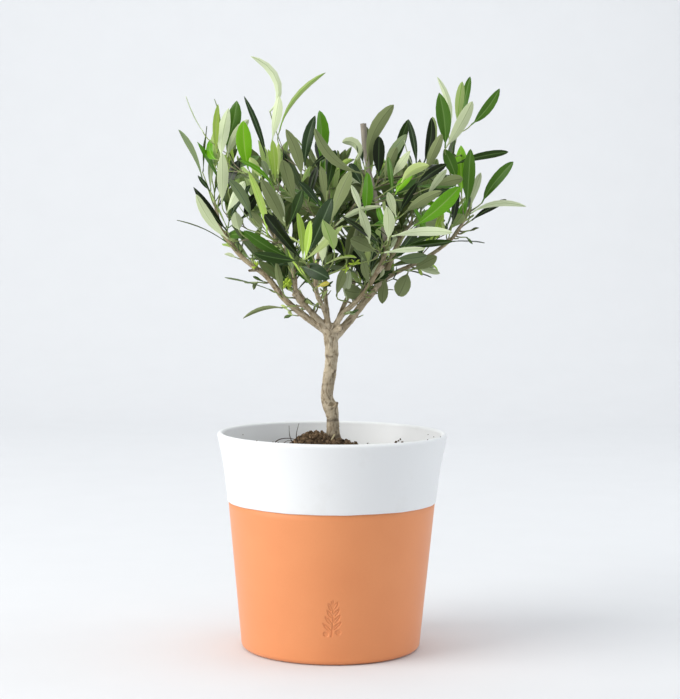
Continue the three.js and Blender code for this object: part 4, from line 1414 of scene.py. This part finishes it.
def leaf_surface(leaf, thick):
    """The leaf's rows of eight places round its section: six over the top, two under the rib."""
    blade = np.clip((LEAF_ROWS - LEAF_STALK) / (1 - LEAF_STALK), 0, 1)
    a, b = leaf["full"], leaf["tip"]
    peak = (a / (a + b)) ** a * (b / (a + b)) ** b
    halves = leaf["width"] / 2 * blade**a * (1 - blade) ** b / peak
    halves = np.maximum(halves, np.where(LEAF_ROWS < 0.5, STALK_HALF, TIP_HALF))
    forward, normal = leaf["direction"], leaf["normal"]
    normal = unit(normal - forward * (normal @ forward))
    place = np.array(leaf["base"], float)
    fold, ripple = math.tan(math.radians(leaf["fold"])), leaf["wave"] * leaf["width"] * 0.22
    rows = []
    previous = 0.0
    for half, share in zip(halves, LEAF_ROWS):
        step = share - previous
        previous = share
        if rows:
            turn = math.radians(leaf["bend"]) * step * (0.5 + share - step / 2)
            forward, normal = (math.cos(turn) * forward - math.sin(turn) * normal,
                               math.cos(turn) * normal + math.sin(turn) * forward)
            forward = unit(forward + np.cross(forward, normal) * math.radians(leaf["sway"]) * step * 2)
            place = place + forward * step * leaf["length"]
            across = unit(np.cross(forward, normal))
            normal = unit(np.cross(across, forward) + across * math.radians(leaf["twist"]) * step)
        across = unit(np.cross(forward, normal))
        body = thick * (0.5 if share > LEAF_STALK else 0.9)
        lift = fold * min(1, max(0, share - 0.03) / 0.12) * half
        left = ripple * math.sin(9 * share + leaf["phase"])
        right = ripple * math.sin(8 * share + leaf["phase"] * 1.7 + 2)
        edge, inner = lift * 0.9 - 0.1 * half, lift * 0.55 + body * 0.7
        rise = np.array([edge + left, inner + left * 0.4, body * 0.35, body * 0.35, inner + right * 0.4,
                         edge + right, -body * 1.5, -body * 1.5])
        rib = max(0.07, min(0.45, 0.24 / half))
        reach = LEAF_ACROSS.copy()
        reach[[2, 3, 6, 7]] = -rib, rib, rib * 1.25, -rib * 1.25
        rows.append(place + np.outer(reach * half, across) + np.outer(rise, normal))
    surface = np.vstack(rows)
    if leaf["reach"] is None:
        return surface
    base = np.array(leaf["base"])
    wanted, found = leaf["reach"] - base, place - base
    turn = np.array(Vector(found).rotation_difference(Vector(wanted)).to_matrix())
    return base + (surface - base) @ turn.T * (np.linalg.norm(wanted) / np.linalg.norm(found))


def leaf_template():
    """Faces, face materials and map corners that every leaf shares."""
    around, rows = len(LEAF_ACROSS), len(LEAF_ROWS)
    kinds = (0, 0, 2, 0, 0, 1, 2, 1)
    above = 0.25 + 0.23 * LEAF_ACROSS
    below = 0.75 - 0.23 * LEAF_ACROSS
    faces, materials, corners = [], [], []
    for i in range(rows - 1):
        low, high = LEAF_ROWS[i], LEAF_ROWS[i + 1]
        for j in range(around):
            k = (j + 1) % around
            faces.append((i * around + j, (i + 1) * around + j, (i + 1) * around + k, i * around + k))
            materials.append(kinds[j])
            u = above if j < 5 else below
            corners += [(u[j], low), (u[j], high), (u[k], high), (u[k], low)]
    for row, flip in ((0, 1), (rows - 1, -1)):
        faces.append(tuple([row * around + j for j in range(around)][::flip]))
        materials.append(2)
        corners += [(0.25, LEAF_ROWS[row])] * around
    return faces, materials, corners


def leaf_mesh(name, leaves, thick, skins):
    """Many leaves as one closed mesh."""
    faces, kinds, corners = leaf_template()
    vertices = np.vstack([leaf_surface(leaf, thick) for leaf in leaves])
    all_faces = [tuple(n * LEAF_PLACES + v for v in face) for n in range(len(leaves)) for face in faces]
    kinds = kinds * len(leaves) if len(skins) > 1 else None
    return mesh_object(name, vertices, all_faces, skins, kinds, corners * len(leaves))


def sharpen(piece, chosen):
    """Makes crisp the edges of which both ends are chosen by a test on their vertex numbers."""
    ends = np.zeros(len(piece.data.edges) * 2, np.int32)
    piece.data.edges.foreach_get("vertices", ends)
    sharp = chosen(ends.reshape(-1, 2))
    piece.data.attributes.new("sharp_edge", "BOOLEAN", "EDGE").data.foreach_set("value", sharp)


def along_margin(ends):
    column = ends % len(LEAF_ACROSS)
    return (column[:, 0] == column[:, 1]) & np.isin(column[:, 0], (0, 5))


def leaf_sprays(sizes):
    """All the leaves of each tint as one closed mesh, with crisp margins."""
    leaves = Crown(sizes).leaves
    for tint, (upper, under, rib, gloss) in TINTS.items():
        mine = [leaf for leaf in leaves if leaf["tint"] == tint]
        if not mine:
            continue
        skins = [leaf_skin(f"olive_leaf_upper_{tint}", upper, gloss, 0.16, 0.28),
                 leaf_skin(f"olive_leaf_felt_{tint}", under, 0.8, 0.06, 0.12),
                 rib_material(f"olive_midrib_{tint}", rib)]
        piece = leaf_mesh(f"leaves_{tint}", mine, sizes.leaf_thick / MM, skins)
        sharpen(piece, along_margin)
        named = [f"foliage_{name}" for name in MASSES] if tint == NAMING_TINT else []
        finish_piece(piece, "foliage", *named)


def twig_pieces(sizes):
    """The woody lower halves of the shoots, and their green upper halves."""
    woody, green = [], []
    for line, radii in Crown(sizes).shoots:
        cut = max(2, int(len(line) * (0.5 if len(line) > 9 else 0.3)))
        woody.append(tube(line[: cut + 1], radii[: cut + 1], 8))
        green.append(tube(line[cut:], radii[cut:] * 0.97, 8))
    bark = shoot_material("young_olive_bark", linear("#8B8268"), 0.8)
    skin = shoot_material("green_shoot_skin", sizes.shoot, 0.6)
    for name, tubes, material, slot in (("twigs_woody", woody, bark, "bark"),
                                        ("shoots_green", green, skin, "foliage")):
        finish_piece(mesh_object(name, *joined(tubes), [material]), slot)


def pruned_twig():
    """A thick twig that was cut back: grey bark and a pale flat cut at its top."""
    line = spline(((36, -18, 290), (30, -10, 316), (24, 1, 340), (21.5, 4, 356), (20, 5, 372.4)), 30)
    radii = 1.55 + 0.75 * np.linspace(0, 1, 30) ** 3 + 0.12 * np.sin(np.linspace(0, 17, 30))
    sides = 14
    vertices, faces = tube(line, radii, sides)
    crown = len(line) * sides + 1
    rim = (len(line) - 1) * sides
    vertices[crown] = vertices[crown] - (0, 0, 0.25)
    kinds = [1 if crown in face else 0 for face in faces]
    materials = [shoot_material("grey_twig_bark", linear("#A79E90"), 0.85),
                 shoot_material("old_cut_wood", linear("#D2C7AE"), 0.8)]
    piece = mesh_object("twig_pruned", vertices, faces, materials, kinds)
    sharpen(piece, lambda ends: ((ends >= rim) & (ends < rim + sides)).all(1))
    return finish_piece(piece, "bark")


# Bud clusters: middle, spread and number of buds; then how thick a bud is.
BUD_CLUSTERS = (((-33, -23, 259), 3.4, 30), ((9, -34, 270), 2.0, 7), ((14, -36, 274), 1.6, 6),
                ((-55, -2, 271), 1.6, 7), ((-20, 30, 268), 2.6, 14))
BUD_THICK = 0.7


def bud_clusters():
    """Tight clusters of unopened yellow-green buds on the inner boughs."""
    rng = random.Random(SEED + 5)
    buds = []
    for middle, spread, number in BUD_CLUSTERS:
        for _ in range(number):
            out = unit(np.array([rng.gauss(0, 1), rng.gauss(0, 1) - 0.4, rng.gauss(0, 1) + 0.3]))
            base = np.array(middle) + out * spread * rng.uniform(0.1, 0.6)
            normal = unit(np.cross(out, (0.3, 0.2, 1)))
            length, width, bend = rng.uniform(2.4, 4.2), rng.uniform(1.3, 2.2), rng.uniform(-30, 10)
            buds.append(rule_leaf(rng, base, out, normal, length, width, bend, "young", True))
    skin = leaf_skin("green_bud_skin", "#AFC844", 0.5, 0.0, 0.4)
    piece = leaf_mesh("bud_clusters", buds, BUD_THICK, [skin])
    return finish_piece(piece, "foliage")


# ------------------------------------------------------------------ stage
def stage_sweep():
    """A seamless sweep of matt uncoated paper under and behind the tree: pale and even, without gloss."""
    bend, reach, below = 0.9, 1.5, 0.0002
    profile = [(-6.0, 0.0), (-3.0, 0.0), (-1.0, 0.0)]
    rise = np.linspace(0, math.pi / 2, 24)
    profile += [(reach + bend * math.sin(a), bend - bend * math.cos(a)) for a in rise]
    profile += [(reach + bend, 3.2), (reach + bend, 6.0)]
    across = np.linspace(-5, 5, 9)
    vertices = [(x / MM, y / MM, (z - below) / MM) for y, z in profile for x in across]
    material, tree, shader = new_material("matt_white_paper", 0.9, 0.1)
    fibre = add(tree, NOISE, {"Vector": add(tree, PLACE, out="Object"), **lumps_of(60, 2)})
    paint(tree, shader, add(tree, RAMP, {0: fibre}, ((0.0, linear("#DDDFE1")), (1.0, linear("#E0E2E4")))))
    faces = ring_faces(len(profile), len(across), closed=False)
    mesh_object("stage_sweep", vertices, faces, [material])


def area_light(name, place, target, size, watts, colour):
    data = bpy.data.lights.new(name, "AREA")
    data.shape = "RECTANGLE"
    data.size, data.size_y = size
    data.energy = watts
    data.color = colour
    lamp = bpy.data.objects.new(name, data)
    lamp.location = place
    lamp.rotation_euler = (Vector(target) - Vector(place)).to_track_quat("-Z", "Y").to_euler()
    bpy.context.scene.collection.objects.link(lamp)


def stage_lights(stage):
    for name, place, target, size, watts, colour in (
        ("window_left", (-1.65, -0.75, 1.1), (0, 0, 0.2), (1.5, 1.5), stage.key, (1.0, 0.985, 0.96)),
        ("softbox_top", (-0.1, -0.15, 1.9), (0, 0, 0.2), (0.9, 0.9), stage.top, (1.0, 0.99, 0.98)),
        ("reflector_right", (1.5, 0.2, 0.75), (0, 0, 0.15), (1.2, 1.2), stage.reflector, (0.93, 0.97, 1.0)),
        ("backdrop_wash", (0, 1.0, 2.3), (0, 2.4, 1.0), (3.0, 0.6), stage.wash, (1.0, 1.0, 1.0)),
    ):
        area_light(name, place, target, size, watts, colour)
    world = bpy.data.worlds.new("pale_sky")
    world.use_nodes = True
    sky = world.node_tree.nodes["Background"]
    sky.inputs["Color"].default_value = (*linear("#F2F4F8"), 1)
    sky.inputs["Strength"].default_value = stage.fill
    bpy.context.scene.world = world


def stage_camera(stage):
    data = bpy.data.cameras.new("camera")
    data.lens = stage.lens
    data.sensor_width = 36
    data.clip_end = 50
    camera = bpy.data.objects.new("camera", data)
    camera.location = (-stage.aside, -stage.distance, stage.height)
    facing = Vector((math.sin(stage.turn) * math.cos(stage.tilt), math.cos(stage.turn) * math.cos(stage.tilt),
                     -math.sin(stage.tilt)))
    level = facing.to_track_quat("-Z", "Y").to_matrix().to_4x4()
    camera.rotation_euler = (level @ Matrix.Rotation(stage.roll, 4, "Z")).to_euler()
    bpy.context.scene.collection.objects.link(camera)
    bpy.context.scene.camera = camera
    bpy.context.scene.view_settings.view_transform = "Standard"


# ------------------------------------------------------------------ add-on
class OLIVE_OT_stage(bpy.types.Operator):
    """Adds the paper sweep, the lights and the camera"""

    bl_idname = "olive.stage"
    bl_label = "Stage, light and camera"

    def execute(self, context):
        stage_sweep()
        stage_lights(context.scene.olive_stage)
        stage_camera(context.scene.olive_stage)
        return {"FINISHED"}


class OLIVE_OT_pot(bpy.types.Operator):
    """Adds the terracotta pot and its dipped white band"""

    bl_idname = "olive.pot"
    bl_label = "Pot"

    def execute(self, context):
        clay_body(context.scene.olive_pot)
        coat_band(context.scene.olive_pot)
        return {"FINISHED"}


class OLIVE_OT_soil(bpy.types.Operator):
    """Adds the compost with its crumbs, dead roots and straw"""

    bl_idname = "olive.soil"
    bl_label = "Compost"

    def execute(self, context):
        pot = context.scene.olive_pot
        soil_body(pot)
        soil_crumbs(pot)
        stray_crumbs(pot)
        root_hairs()
        return {"FINISHED"}


class OLIVE_OT_limbs(bpy.types.Operator):
    """Adds the trunk and boughs in one skin of bark"""

    bl_idname = "olive.limbs"
    bl_label = "Trunk and boughs"

    def execute(self, context):
        bark_limbs(context.scene.olive_tree)
        return {"FINISHED"}


class OLIVE_OT_twigs(bpy.types.Operator):
    """Adds the twigs and green shoots that grow on from the boughs"""

    bl_idname = "olive.twigs"
    bl_label = "Twigs and shoots"

    def execute(self, context):
        twig_pieces(context.scene.olive_tree)
        pruned_twig()
        return {"FINISHED"}


class OLIVE_OT_leaves(bpy.types.Operator):
    """Adds the leaves in their sprays, one mesh for each tint"""

    bl_idname = "olive.leaves"
    bl_label = "Leaves"

    def execute(self, context):
        leaf_sprays(context.scene.olive_tree)
        bud_clusters()
        return {"FINISHED"}


OPERATORS = (OLIVE_OT_stage, OLIVE_OT_pot, OLIVE_OT_soil, OLIVE_OT_limbs, OLIVE_OT_twigs, OLIVE_OT_leaves)


class OLIVE_PT_tree(bpy.types.Panel):
    """Lists the operators and the settings"""

    bl_label = "Olive tree"
    bl_idname = "OLIVE_PT_tree"
    bl_space_type = "VIEW_3D"
    bl_region_type = "UI"
    bl_category = "Olive tree"

    def draw(self, context):
        for operator in OPERATORS:
            self.layout.operator(operator.bl_idname)
        for settings in (context.scene.olive_pot, context.scene.olive_tree, context.scene.olive_stage):
            box = self.layout.box()
            for key in settings.bl_rna.properties.keys():
                if key not in ("rna_type", "name"):
                    box.prop(settings, key)


CLASSES = (OlivePotSettings, OliveTreeSettings, OliveStageSettings, *OPERATORS, OLIVE_PT_tree)


def register():
    for made in CLASSES:
        bpy.utils.register_class(made)
    bpy.types.Scene.olive_pot = bpy.props.PointerProperty(type=OlivePotSettings)
    bpy.types.Scene.olive_tree = bpy.props.PointerProperty(type=OliveTreeSettings)
    bpy.types.Scene.olive_stage = bpy.props.PointerProperty(type=OliveStageSettings)


def unregister():
    for name in ("olive_pot", "olive_tree", "olive_stage"):
        delattr(bpy.types.Scene, name)
    for made in reversed(CLASSES):
        bpy.utils.unregister_class(made)


def main():
    register()
    for operator in OPERATORS:
        getattr(bpy.ops.olive, operator.bl_idname.split(".")[1])()


if __name__ == "__main__":
    main()
